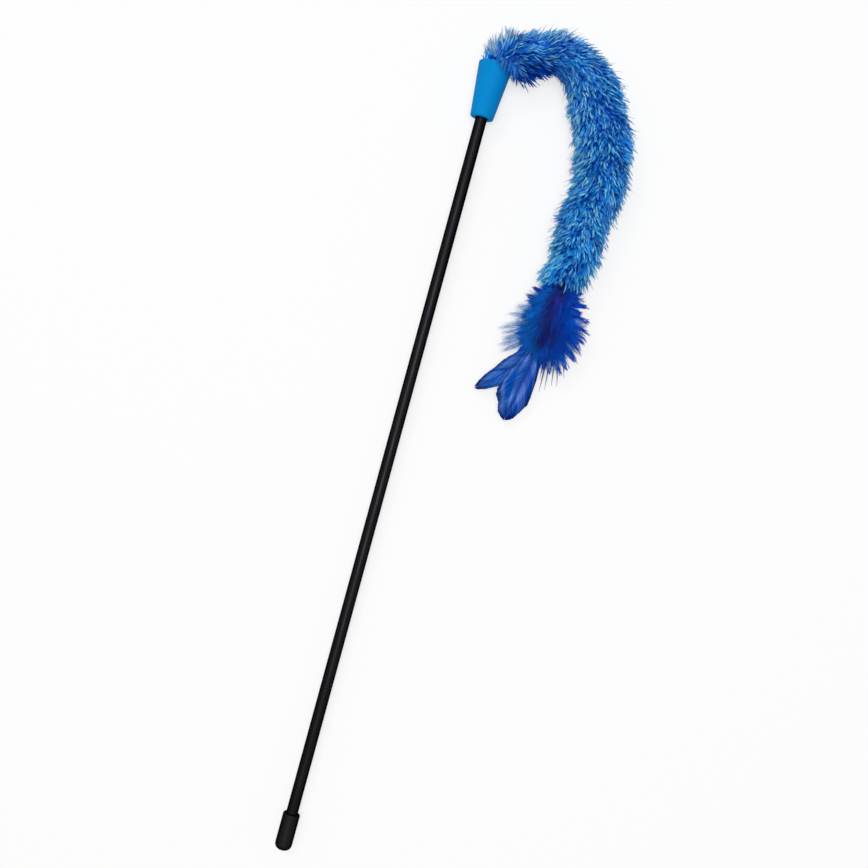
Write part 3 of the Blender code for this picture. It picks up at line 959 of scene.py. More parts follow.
class PlushTail:
    """The long-piled sleeve: a dark skin under pointed, leaning locks."""

    RUNS = (Run(0.0162, 72.0), Run(0.0105), Run(0.008), Run(0.017, 47.0), Run(0.024, 33.0), Run(0.009),
            Run(0.042, 32.0), Run(0.009), Run(0.032, -2.5), Run(0.0135))
    START = Vector((0.0, 0.4490, 0.0))
    LOW_UNTIL, LOW_RISE, HIGH_FROM, HIGH_UNTIL = 0.010, 0.0004, 0.030, 0.2
    SKIN_MM = ((0, 6.2), (4, 6.8), (9, 7.4), (16, 8.2), (26, 8.2), (32, 8.3), (40, 8.5), (50, 8.7), (54, 9.3),
               (60, 10.4), (68, 11.8), (74, 12.5), (84, 12.0), (96, 13.2), (106, 12.8), (118, 12.0),
               (130, 11.7), (142, 11.4), (156, 11.3), (162, 10.7), (167, 9.7), (175, 10.4), (179, 9.4),
               (181.2, 7.8))
    SWAY_MM = ((0, 0), (20, 0), (27, -1.0), (44, -1.1), (52, -0.9), (58, -1.5), (66, -1.0), (74, -1.7),
               (88, -1.8), (98, -1.0), (110, -0.8), (120, -0.2), (128, 0.3), (132, 0), (144, -1.5),
               (156, -0.8), (166, -0.8), (176, -2.6), (184, -2.8))
    STRETCHES = (
        TailStretch("fur_root", 0.0, 0.018, ("tail_plush_1", "tail_core_1"),
                    "wand", "tail_1", 0.0045, 0.0135),
        TailStretch("fur_arch", 0.018, 0.046, ("tail_plush_2", "tail_core_2"),
                    "tail_1", "tail_2", 0.0200, 0.0350),
        TailStretch("fur_bend", 0.046, 0.098, ("tail_plush_3", "tail_core_3"),
                    "tail_2", "tail_3", 0.0640, 0.0880),
        TailStretch("fur_hang", 0.098, 0.147, ("tail_plush_4", "tail_core_4"),
                    "tail_3", "tail_4", 0.1150, 0.1400),
        TailStretch("fur_end", 0.147, 0.1812, (), "tail_4", "feathers", 0.1565, 0.1789),
    )
    SKIN_PITCH, SKIN_RINGS = 0.0016, 8
    SKIN_LEVELS = {"reach": 0.4, "tone": 0.2, "shade": 0.2}
    SEED_SCALE, SEED_STEP, DRIFT_SEED, SWIRL_SEED = 1e5, 17, 11, 12
    SWIRL_WAVES, SWIRL_FINEST = 9, 0.008
    GIRTH_SAMPLES = 20
    TURN_SPREAD = 0.35
    MOUTH, MOUTH_BLEND, MOUTH_LEAN = 0.0040, 0.0024, 75.0
    NEAR_MOUTH, UPRIGHT, HAZE_EDGE = 0.014, 0.35, 1.4
    DROOP_MIDDLE, DROOP_REACH = 0.017, 0.009
    DROOP_LEAN, DROOP_LONGER, DROOP_OUT = 0.45, 0.35, 0.0032
    FLARE_START, FLARE_REACH, FLARE_AHEAD, FLARE_BACK = 0.170, 0.012, 0.5, 0.35
    SIDE_HEIGHT, SIDE_WISP = 0.35, 0.5
    ARCH_MIDDLE, OUTER_MIDDLE, ARCH_REACH = 0.026, 0.034, 0.022
    TINT = ((0.02, 0.3), (0.09, 0.05), (0.18, -0.35))
    TINT_DRIFT, TINT_SLOWER, TINT_SPREAD = 0.4, 0.7, 0.25
    BRIGHT_SHARE, BRIGHT, DIM = 0.36, (0.65, 1.0), (0.0, 0.45)
    # Painted sheen that lightens the locks at the grazing sides, and painted light on the outer side of the
    # arch.
    SIDE_LIGHT, SIDE_POWER, OUTER_LIGHT = 0.30, 1.5, 0.60
    # Painted shade inside the arch near the collar; the last number darkens the undercoat.
    SHADE_START, SHADE_DEPTH, SHADE_MOST, DULL_SHADE = 0.25, 0.65, 0.85, 0.5
    PATCH_DEPTH, PATCH_SLOWER, PATCH_TURNS = 0.15, 0.5, 2.0

    def __init__(self, strays: Strays, fringe: Fringe, drape: Drape) -> None:
        """Trace the sleeve's centre line.

        Args:
            strays: the long thin hairs.
            fringe: the pale locks at the collar's mouth.
            drape: the dark locks over its rim.
        """
        self.strays, self.fringe, self.drape = strays, fringe, drape
        low, high = joint_place("tail_root_swing").z, joint_place("tail_drop_lift").z
        rise = ((0.0, low), (self.LOW_UNTIL, low + self.LOW_RISE))
        heights = (*rise, (self.HIGH_FROM, high), (self.HIGH_UNTIL, high))
        self.line = CentreLine(self.START, 0.0, self.RUNS, heights)
        self.drift = Drift(np.random.default_rng(self.DRIFT_SEED))
        self.swirl = Drift(np.random.default_rng(self.SWIRL_SEED), self.SWIRL_WAVES, self.SWIRL_FINEST)

    def centre(self, distance: Array) -> Stations:
        """The sleeve's middle, which sways a little beside the core.

        Args:
            distance: distances along the line.

        Returns:
            The stations.
        """
        stations = self.line.sample(distance)
        stations.place = stations.place + stations.side * read_mm(self.SWAY_MM, distance)[:, None]
        return stations

    def spots(self, distance: Array, angle: Array) -> Spots:
        """Places on the sleeve at distances along its middle and turns about it."""
        return Spots(distance, angle, self.centre(distance))

    def above_skin(self, spots: Spots, height: Array) -> Array:
        """Points at heights above the skin."""
        return spots.stations.place + spots.out * (read_mm(self.SKIN_MM, spots.distance) + height)[:, None]

    def droop(self, spots: Spots) -> Array:
        """Shares of how far the pile hangs over the collar's rim, inside the first turn."""
        return held(-np.cos(spots.angle)) * hump(spots.distance, self.DROOP_MIDDLE, self.DROOP_REACH)

    def sleeve(self, stretch: TailStretch) -> Piece:
        """The dark skin under the pile.

        Args:
            stretch: the length to make.

        Returns:
            The mesh object.
        """
        count = max(self.SKIN_RINGS, round((stretch.end - stretch.start) / self.SKIN_PITCH))
        distance = np.linspace(stretch.start, stretch.end, count)
        radii_mm = read_mm(self.SKIN_MM, distance) / MM
        tube = one_tube(self.centre(distance).place, radii_mm, **self.SKIN_LEVELS)
        return tube.mesh_object(stretch.name + "_skin", Profile.TUBE, SKIN_FINISH, upright=True)

    def hairs(self, stretch: TailStretch, pile: Pile) -> Fibres:
        """Locks that lean toward the tail's end.

        Args:
            stretch: the length to cover.
            pile: the layer.

        Returns:
            The hairs.
        """
        seed = int(stretch.start * self.SEED_SCALE) + pile.style.hairs * self.SEED_STEP
        chance = np.random.default_rng(seed)
        span = stretch.end - stretch.start
        samples = np.linspace(stretch.start, stretch.end, self.GIRTH_SAMPLES)
        girth = math.tau * float(read_mm(self.SKIN_MM, samples).mean())
        locks = int(girth * span / MM**2 * pile.density)
        distance = stretch.start + span * (np.arange(locks) + chance.random(locks)) / locks
        angle = (np.arange(locks) * GOLDEN_TURN + chance.normal(0.0, self.TURN_SPREAD, locks)) % math.tau
        return self.grown(pile, self.spots(distance, angle), chance)

    def grown(self, pile: Pile, spots: Spots, chance: Chance) -> Fibres:
        """Hairs for given locks.

        Args:
            pile: the layer.
            spots: where the locks stand.
            chance: the seeded generator.

        Returns:
            The hairs.
        """
        distance, angle, stations, out = spots.distance, spots.angle, spots.stations, spots.out
        count = len(distance)
        droop = self.droop(spots)
        early = held(1.0 - distance / self.NEAR_MOUTH)
        lean = pile.lean + pile.lean_drift * self.drift.at(distance, angle)
        lean = lean + chance.normal(0.0, pile.lean_spread, count)
        lean = lean * (1.0 - self.UPRIGHT * early) * (1.0 - self.DROOP_LEAN * droop)
        inside = held((self.MOUTH + self.MOUTH_BLEND / 2 - distance) / self.MOUTH_BLEND)
        lean = np.radians(lean + (self.MOUTH_LEAN - lean) * inside)
        swerve = pile.swerve * self.swirl.at(distance, angle) + chance.normal(0.0, pile.swerve_spread, count)
        flow = between(stations.ahead, np.cross(stations.ahead, out), np.radians(swerve))
        flare = self.FLARE_AHEAD * stations.ahead - self.FLARE_BACK * stations.side
        ending = ramp(distance, self.FLARE_START, self.FLARE_REACH)
        direction = unit(between(out, flow, lean) + flare * ending[:, None])
        length = 1.0 + pile.length_spread * chance.normal(0.0, 1.0, count)
        length = pile.length_mm * MM * length.clip(pile.shortest, pile.longest)
        length = length * (1.0 + self.DROOP_LONGER * droop)
        root = self.above_skin(spots, self.DROOP_OUT * droop - pile.sunk)
        tip = root + direction * length[:, None]
        pull = (root + tip) / 2 + out * (length * pile.bow)[:, None]
        beside = np.abs(out[:, 2]) < self.SIDE_HEIGHT
        locks = Locks(root, pull, tip, unit(np.cross(out, direction)), {
            "tone": self.brightness(pile, spots, chance),
            "hue": self.tint(spots, chance),
            "shade": self.painted_shade_and_patches(spots) + pile.dull * self.DULL_SHADE,
            "wisp": held(self.mouth_haze(spots) + self.SIDE_WISP * beside),
        })
        return locks.hairs(pile.style, chance).laid_on(TABLE)

    def tint(self, spots: Spots, chance: Chance) -> Array:
        """Each lock's hue: toward violet near the collar and toward teal at the tail's end.

        Args:
            spots: where the locks stand.
            chance: the seeded generator.

        Returns:
            Values of -1 to 1.
        """
        along = np.interp(spots.distance, *np.array(self.TINT).T)
        drift = self.TINT_DRIFT * self.drift.at(spots.distance * self.TINT_SLOWER, spots.angle)
        return np.clip(along + (drift + chance.normal(0.0, self.TINT_SPREAD, len(along))), -1.0, 1.0)

    def brightness(self, pile: Pile, spots: Spots, chance: Chance) -> Array:
        """How light each lock is: a share of them bright, the rest dark, plus painted sheen that lightens the
        grazing sides and painted light on the outer side of the arch.

        Args:
            pile: the layer.
            spots: where the locks stand.
            chance: the seeded generator.

        Returns:
            Values of 0 to 1.
        """
        count = len(spots.distance)
        bright = chance.random(count) < self.BRIGHT_SHARE
        tone = np.where(bright, chance.uniform(*self.BRIGHT, count), chance.uniform(*self.DIM, count))
        # Painted sheen: locks at the grazing sides, where they point least upward, are made lighter.
        tone = tone * (1.0 - pile.dull) + self.SIDE_LIGHT * (1.0 - np.abs(spots.out[:, 2])) ** self.SIDE_POWER
        # Painted light: locks on the outer side of the arch are made lighter.
        arch = hump(spots.distance, self.OUTER_MIDDLE, self.ARCH_REACH)
        return held(tone + self.OUTER_LIGHT * held(spots.outer) * arch)

    def mouth_haze(self, spots: Spots) -> Array:
        """Shares of how thin and pale the locks are at the outer side of the collar's mouth."""
        return held(np.cos(spots.angle) * self.HAZE_EDGE) * held(1.0 - spots.distance / self.NEAR_MOUTH)

    def painted_shade_and_patches(self, spots: Spots) -> Array:
        """How dark the pile is: painted shade, deepest inside the arch near the collar, plus slow random
        patches.

        Args:
            spots: where the locks stand.

        Returns:
            Values of 0 to 1.
        """
        # Painted shade: locks on the inner side of the arch near the collar are darkened; the patches are
        # random.
        inward = (self.SHADE_START - spots.outer) * self.SHADE_DEPTH
        arch = hump(spots.distance, self.ARCH_MIDDLE, self.ARCH_REACH)
        patches = self.drift.at(spots.distance * self.PATCH_SLOWER, spots.out[:, 2] * self.PATCH_TURNS)
        return np.clip(inward * arch + self.PATCH_DEPTH * patches, 0.0, self.SHADE_MOST)

    def stray(self, stretch: TailStretch) -> Fibres:
        """The long thin hairs of one length.

        Args:
            stretch: the length to cover.

        Returns:
            The hairs.
        """
        style = self.strays
        chance = np.random.default_rng(int(stretch.start * self.SEED_SCALE) + style.seed)
        count = int((stretch.end - stretch.start) / style.pitch)
        first = max(stretch.start, self.MOUTH)
        distance = first + (stretch.end - first) * chance.random(count)
        spots = self.spots(distance, chance.uniform(0.0, math.tau, count))
        ahead = spots.stations.ahead
        direction = between(spots.out, ahead, np.radians(chance.uniform(*style.lean, count)))
        direction = unit(direction + chance.normal(0.0, style.scatter, (count, 3)))
        length = chance.uniform(*style.length, count)[:, None]
        root = self.above_skin(spots, 0.0)
        tip = root + direction * length + ahead * style.forward
        values = {
            "reach": STEPS[None],
            "tone": chance.uniform(*style.tone, count)[:, None],
            "shade": np.full((count, 1), style.shade),
            "wisp": np.full((count, 1), style.wisp),
        }
        points = bowed(root, root + direction * length / 2, tip)
        return Fibres(points, style.root_mm - style.taper_mm * STEPS, values).laid_on(TABLE)

    def mouth_fringe(self) -> Piece:
        """The fringe at the collar's mouth.

        Returns:
            The mesh object.
        """
        style, count = self.fringe, self.fringe.count
        chance = np.random.default_rng(style.seed)
        distance = chance.uniform(self.MOUTH, style.end, count)
        spots = self.spots(distance, chance.uniform(*style.turns, count))
        out = spots.out
        aim = np.array(style.aim) + np.array(style.aim_later) * (distance / style.reach)[:, None]
        direction = unit(style.outward * out + aim + chance.normal(0.0, style.scatter, (count, 3)))
        length = chance.uniform(*style.length, count)[:, None]
        root = self.above_skin(spots, -style.sunk)
        tip = root + direction * length
        pull = (root + tip) / 2 + out * length * style.bow
        locks = Locks(root, pull, tip, unit(np.cross(out, direction)), {
            "tone": chance.uniform(*style.tone, count),
            "hue": chance.normal(0.0, style.hue, count),
            "shade": chance.choice(style.shades, count, p=style.chances),
            "wisp": np.ones(count),
        })
        return locks.hairs(style.style, chance).mesh_object("fur_root_fringe", Profile.THREAD, FRINGE_FINISH)

    def rim_drape(self) -> Fibres:
        """The drape over the collar's rim, on the side where the tail turns back.

        Returns:
            The hairs.
        """
        style, count = self.drape, self.drape.count
        chance = np.random.default_rng(style.seed)
        centre = self.line.sample(np.full(count, style.distance)).place
        turn = chance.uniform(*style.turns, count)
        outward = np.stack((np.cos(turn), np.zeros(count), np.sin(turn)), axis=1)
        ahead = np.array((0.0, 1.0, 0.0))
        root = centre + outward * chance.uniform(*style.radius, count)[:, None]
        fall = (held(np.cos(turn - style.fall_turn)) * chance.uniform(*style.fall, count))[:, None]
        far = ramp(turn, style.far_turn, style.far_width)
        pull = root + outward * style.pull[0] + ahead * style.pull[1]
        back = style.back[0] + style.back[1] * fall - style.back[2] * far[:, None]
        tip = root + outward * (style.out[0] + style.out[1] * fall) - ahead * back
        tip = tip + chance.normal(0.0, style.scatter, (count, 3))
        # Mostly dark tones and deep shade: painted shade on the inner side of the arch, less past the far
        # turn.
        bright = chance.random(count) < style.bright_share
        tone = np.where(bright, style.bright, chance.uniform(*style.tone, count))
        locks = Locks(root, pull, tip, unit(np.cross(outward, ahead)), {
            "tone": held(tone + style.far_tone * far),
            "hue": chance.uniform(*style.hue, count),
            "shade": chance.uniform(*style.shade, count) * (1.0 - style.far_shade * far),
            "wisp": far,
        })
        return locks.hairs(TUFTS.style, chance)

    def attach(self, piece: Piece, stretch: TailStretch) -> None:
        """Bake a piece's place into its mesh; it is not tied to the bodies that its stretch bends between.

        Args:
            piece: the piece.
            stretch: its length of the tail.
        """
        begin, finish = self.line.point(stretch.bend_from), self.line.point(stretch.bend_to)
        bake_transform(piece)

    def build(self) -> None:
        """Make the whole tail."""
        for stretch in self.STRETCHES:
            skin = self.sleeve(stretch)
            title = stretch.name
            under = self.hairs(stretch, UNDERCOAT).mesh_object(title + "_under", Profile.THREAD, FUR_FINISH)
            batches = [self.hairs(stretch, TUFTS), self.stray(stretch)]
            if stretch is self.STRETCHES[0]:
                batches.append(self.rim_drape())
                self.attach(self.mouth_fringe(), stretch)
            tufts = Fibres.joined(batches).mesh_object(title + "_tufts", Profile.THREAD, FUR_FINISH)
            for piece in (skin, under, tufts):
                self.attach(piece, stretch)
            if stretch.nodes:
                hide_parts(*stretch.nodes)


# The feathers


class Bundle:
    """The feather bundle's own axes: X to the side away from the rod, Y up and Z toward the tips."""

    HEADING = 185.0
    DROOP = 3.0

    def __init__(self) -> None:
        """Place the axes on the last hinge."""
        heading, droop = math.radians(self.HEADING), math.radians(-self.DROOP)
        level = math.cos(droop)
        ahead = Vector((math.sin(heading) * level, math.cos(heading) * level, math.sin(droop)))
        side = Vector((0, 0, 1)).cross(ahead).normalized()
        self.matrix = Matrix((side, ahead.cross(side), ahead)).transposed().to_4x4()
        self.matrix.translation = joint_place("feather_swing")
        self.array = np.array(self.matrix)

    def to_frame(self, points: Array) -> Array:
        """Points in the bundle's axes, along the last axis of an array, as points in the frame."""
        return points @ self.array[:3, :3].T + self.array[:3, 3]


@dataclass(frozen=True)
class Spray:
    """Locks of the puff whose tips are at known places seen from above, in millimetres."""

    tips_mm: tuple[Pair, ...]
    jitter_mm: float
    rooted: float
    style: LockStyle
    tone: Pair
    shade: Pair
    hue: Pair
    wisp: float
    repeat: int = 6
    lift: float = 0.0045
    bow: float = 0.0008


SPIKES = Spray(
    ((13.0, 17.5), (18.2, 20.7), (17.0, 26.0), (22.2, 30.0), (24.2, 36.0), (24.6, 41.0), (23.8, 46.5),
     (22.6, 52.0), (19.4, 58.0), (15.8, 61.5), (11.0, 63.0), (7.0, 62.0), (3.0, 60.0), (-10.5, 17.0),
     (-14.5, 22.0), (-16.0, 27.0), (-14.5, 50.0), (-10.0, 57.5), (-4.0, 59.0)),
    1.0, 0.48, LockStyle(9, 0.95, 0.16, 0.05, 0.25, rim_dark=0.4),
    (0.1, 0.6), (0.05, 0.45), (-0.3, 0.3), 0.10,
)
WISPS = Spray(
    ((-19.0, 35.0), (-19.5, 40.0), (-20.0, 45.0), (-23.5, 50.0), (-21.5, 54.0), (-21.0, 58.0), (-17.5, 61.5),
     (-16.0, 24.0), (20.5, 33.0), (22.5, 39.0), (21.0, 49.0), (17.0, 57.0), (10.0, 63.0), (14.0, 62.0)),
    1.4, 0.50, LockStyle(9, 1.20, 0.11, 0.03, 0.55),
    (0.2, 1.0), (0.0, 0.15), (-0.6, 0.3), 1.0,
)


@dataclass(frozen=True)
class Spines:
    """The bare plume ends: pairs of start and tip seen from above, in millimetres."""

    ENDS_MM = (((5.5, 50.0), (8.9, 74.4)), ((7.0, 50.0), (11.4, 72.2)), ((9.0, 48.0), (14.2, 69.0)),
               ((10.0, 48.0), (17.2, 68.3)), ((12.0, 47.0), (19.4, 62.5)), ((3.5, 50.0), (6.9, 68.0)))
    height: float = -0.001
    bow: float = 0.0007
    tone: Pair = (0.2, 0.9)
    root_mm: float = 0.60
    taper_mm: float = 0.38


@dataclass(frozen=True)
class PuffStyle:
    """The puff's outline seen from above, its soft heart and how its down grows.

    A pair holds a least value and what is added to it (depth, wisp), a middle and a reach (centre),
    a start and a width or strength (late, left_light), a scatter and a rise (bow), or the two numbers of a
    beta curve.
    """

    LEFT_MM = ((8, -8.0), (12, -9.0), (19, -12.0), (24, -14.5), (30, -16.0), (33, -16.5), (39.5, -15.5),
               (47, -15.0), (51, -13.0), (56, -9.0), (61, -1.0))
    RIGHT_MM = ((8, 8.5), (12, 10.0), (19, 12.5), (25, 14.5), (31, 17.5), (38, 20.5), (43, 21.5), (48, 20.5),
                (53, 17.5), (57, 15.0), (61, 11.0))
    HUES = ((-1.0, -0.8), (-0.4, -0.5), (0.0, 0.0), (0.5, 0.0), (1.0, -0.25))
    start: float = 0.0085
    end: float = 0.0610
    tall: float = 0.66
    hub: Pair = (0.001, 0.026)
    spread: float = 0.45
    rooted: float = 0.34
    clumps: int = 1010
    depth: Pair = (0.50, 0.52)
    depth_beta: Pair = (2.6, 0.7)
    tone_beta: Pair = (2.0, 4.0)
    bow: Pair = (0.0012, 0.0008)
    centre: Pair = (-0.12, 0.42)
    late: Pair = (0.044, 0.012)
    left_light: Pair = (0.3, 0.3)
    late_light: float = 0.2
    centre_dark: float = 0.85
    least_shade: float = 0.05
    most_shade: float = 0.9
    shade_spread: float = 0.06
    wisp: Pair = (0.10, 0.4)
    wisp_from: float = -0.85
    lay: float = 0.007
    lay_in: float = 0.012
    lay_out: float = 0.016
    down: LockStyle = LockStyle(10, 1.15, 0.13, 0.045, 0.50, 0.05, 0.18, 0.1)
    heart_rings: int = 22
    heart_ends: Pair = (0.0015, 0.003)
    heart_middle: float = 0.8
    heart_width: float = 0.64
    heart_dome: Triple = (0.3, 0.25, 0.6)


class MarabouPuff:
    """Down plumes tied round the quills: a soft dark mass under fine radiating barbs."""

    DOWN_SEED, SPIKES_SEED, WISPS_SEED = 301, 302, 303
    HEART_LEVELS = {"reach": 0.3, "tone": 0.0, "shade": 1.0}

    def __init__(self, bundle: Bundle, style: PuffStyle, bare: Spines) -> None:
        """Keep the bundle's axes, the puff's style and the bare plume ends."""
        self.bundle, self.style, self.bare = bundle, style, bare

    def outline(self, ahead: Array) -> tuple[Array, Array]:
        """The puff's middles and half-widths in metres, at distances along the bundle."""
        left, right = read_mm(self.style.LEFT_MM, ahead), read_mm(self.style.RIGHT_MM, ahead)
        return (left + right) / 2, (right - left) / 2

    def locks(self, tip: Array, rooted: float, bow: Array, values: dict[str, Array]) -> Locks:
        """Locks that radiate from the puff's stem to given tips.

        Args:
            tip: the tips in the bundle's axes.
            rooted: how far from the stem they start, as a share.
            bow: how far each one bends on the way.
            values: what colours them.

        Returns:
            The locks in the frame.
        """
        side, first = self.style.hub
        stem = first + (tip[:, 2] - first) * self.style.spread
        hub = np.stack((np.full_like(stem, side), np.zeros_like(stem), stem), axis=1)
        root = hub + (tip - hub) * rooted
        begin, bend, end = (self.bundle.to_frame(given) for given in (root, (root + tip) / 2 + bow, tip))
        return Locks(begin, bend, end, unit(np.cross(np.array((0.0, 0.0, 1.0)), end - begin)), values)

    def down(self) -> Fibres:
        """Fine barbs whose tips lie near the puff's outline.

        Returns:
            The barbs.
        """
        style, count = self.style, self.style.clumps
        chance = np.random.default_rng(self.DOWN_SEED)
        ahead = chance.uniform(style.start, style.end, count)
        turn = chance.uniform(0.0, math.tau, count)
        depth = style.depth[0] + style.depth[1] * chance.beta(*style.depth_beta, count)
        middle, half = self.outline(ahead)
        high = half * depth * style.tall * np.sin(turn)
        tip = np.stack((middle + half * depth * np.cos(turn), high, ahead), axis=1)
        bow = chance.normal(0.0, style.bow[0], (count, 3)) + np.array((0.0, style.bow[1], 0.0))
        across = np.cos(turn) * depth
        late = ramp(ahead, *style.late)
        left_from, left_light = style.left_light
        tone = chance.beta(*style.tone_beta, count) + style.late_light * late
        tone = tone + left_light * held(-across - left_from)
        dark = style.centre_dark * hump(across, *style.centre) * (1.0 - style.centre_dark * late)
        shade = style.least_shade + dark + chance.normal(0.0, style.shade_spread, count)
        thin = style.wisp[0] + style.wisp[1] * (across < style.wisp_from)
        hue = np.interp(across, *np.array(style.HUES).T)
        shade = np.clip(shade, 0.0, style.most_shade)
        values = {"tone": held(tone), "hue": hue, "shade": shade, "wisp": held(thin)}
        locks = self.locks(tip, style.rooted, bow, values)
        lay = style.lay * held(np.sin(turn))
        lay = lay * ramp(ahead, style.start, style.lay_in) * held((style.end - ahead) / style.lay_out)
        locks.tip = locks.tip + self.bundle.array[:3, 2] * lay[:, None]
        return locks.hairs(style.down, chance)

    def spray(self, spray: Spray, seed: int) -> Fibres:
        """Pointed locks at known places of the outline.

        Args:
            spray: the places and the looks.
            seed: the seed of its random choices.

        Returns:
            The barbs.
        """
        chance = np.random.default_rng(seed)
        flat = np.repeat(np.array(spray.tips_mm), spray.repeat, axis=0) * MM
        count = len(flat)
        flat = flat + chance.normal(0.0, spray.jitter_mm * MM, flat.shape)
        lift = chance.uniform(-spray.lift, spray.lift, count)
        tip = np.stack((flat[:, 0], lift, flat[:, 1]), axis=1)
        bow = chance.normal(0.0, spray.bow, (count, 3))
        values = {name: chance.uniform(*getattr(spray, name), count) for name in ("tone", "shade", "hue")}
        values["wisp"] = np.full(count, spray.wisp)
        return self.locks(tip, spray.rooted, bow, values).hairs(spray.style, chance)

    def spines(self) -> Fibres:
        """The bare ends of a few plumes, past the down.

        Returns:
            The spines.
        """
        style = self.bare
        flat = np.array(style.ENDS_MM) * MM
        ends = np.stack((flat[..., 0], np.full(flat.shape[:2], style.height), flat[..., 1]), axis=-1)
        root, tip = self.bundle.to_frame(ends[:, 0]), self.bundle.to_frame(ends[:, 1])
        points = bowed(root, (root + tip) / 2 + self.bundle.array[:3, 0] * style.bow, tip)
        tone = np.linspace(*style.tone, len(flat))[:, None]
        values = {"reach": STEPS[None], "tone": tone, "wisp": np.ones((len(flat), 1))}
        return Fibres(points, style.root_mm - style.taper_mm * STEPS**2, values)

    def heart(self) -> Piece:
        """The dark soft mass under the barbs.

        Returns:
            The mesh object.
        """
        style, count = self.style, self.style.heart_rings
        ahead = np.linspace(style.start + style.heart_ends[0], style.end - style.heart_ends[1], count)
        middle, half = self.outline(ahead)
        places = np.stack((middle * style.heart_middle, np.zeros(count), ahead), axis=1)
        low, high, power = style.heart_dome
        dome = np.sin(np.linspace(low, math.pi - high, count)) ** power
        tube = one_tube(places, half / MM * style.heart_width * dome, **self.HEART_LEVELS)
        made = tube.mesh_object("marabou_heart", Profile.TUBE, DOWN_FINISH, capped=True)
        made.data.transform(self.bundle.matrix @ Matrix.Diagonal((1.0, style.tall, 1.0, 1.0)))
        return made

    def build(self) -> None:
        """Make the puff."""
        batches = (
            ("marabou_barbs", self.down(), DOWN_FINISH),
            ("marabou_spikes", self.spray(SPIKES, self.SPIKES_SEED), DOWN_FINISH),
            ("marabou_wisps", self.spray(WISPS, self.WISPS_SEED), WISP_FINISH),
            ("marabou_spines", self.spines(), SPINE_FINISH),
        )
        heart = self.heart()
        grown = [fibres.laid_on(TABLE).mesh_object(name, Profile.THREAD, finish)
                 for name, fibres, finish in batches]
        for piece in (heart, *grown):
            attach(piece, "feathers")
        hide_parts(*[f"marabou_plume_{n}" for n in range(1, 9)])


@dataclass(frozen=True)
class SpoonShape:
    """One flat feather: its shaft as four control points across, along and above, and its vane's widths."""

    name: str
    path_mm: tuple[Triple, ...]
    left_mm: Curve
    right_mm: Curve
    roll: float
    hue: float
    lift: float
    seed: int


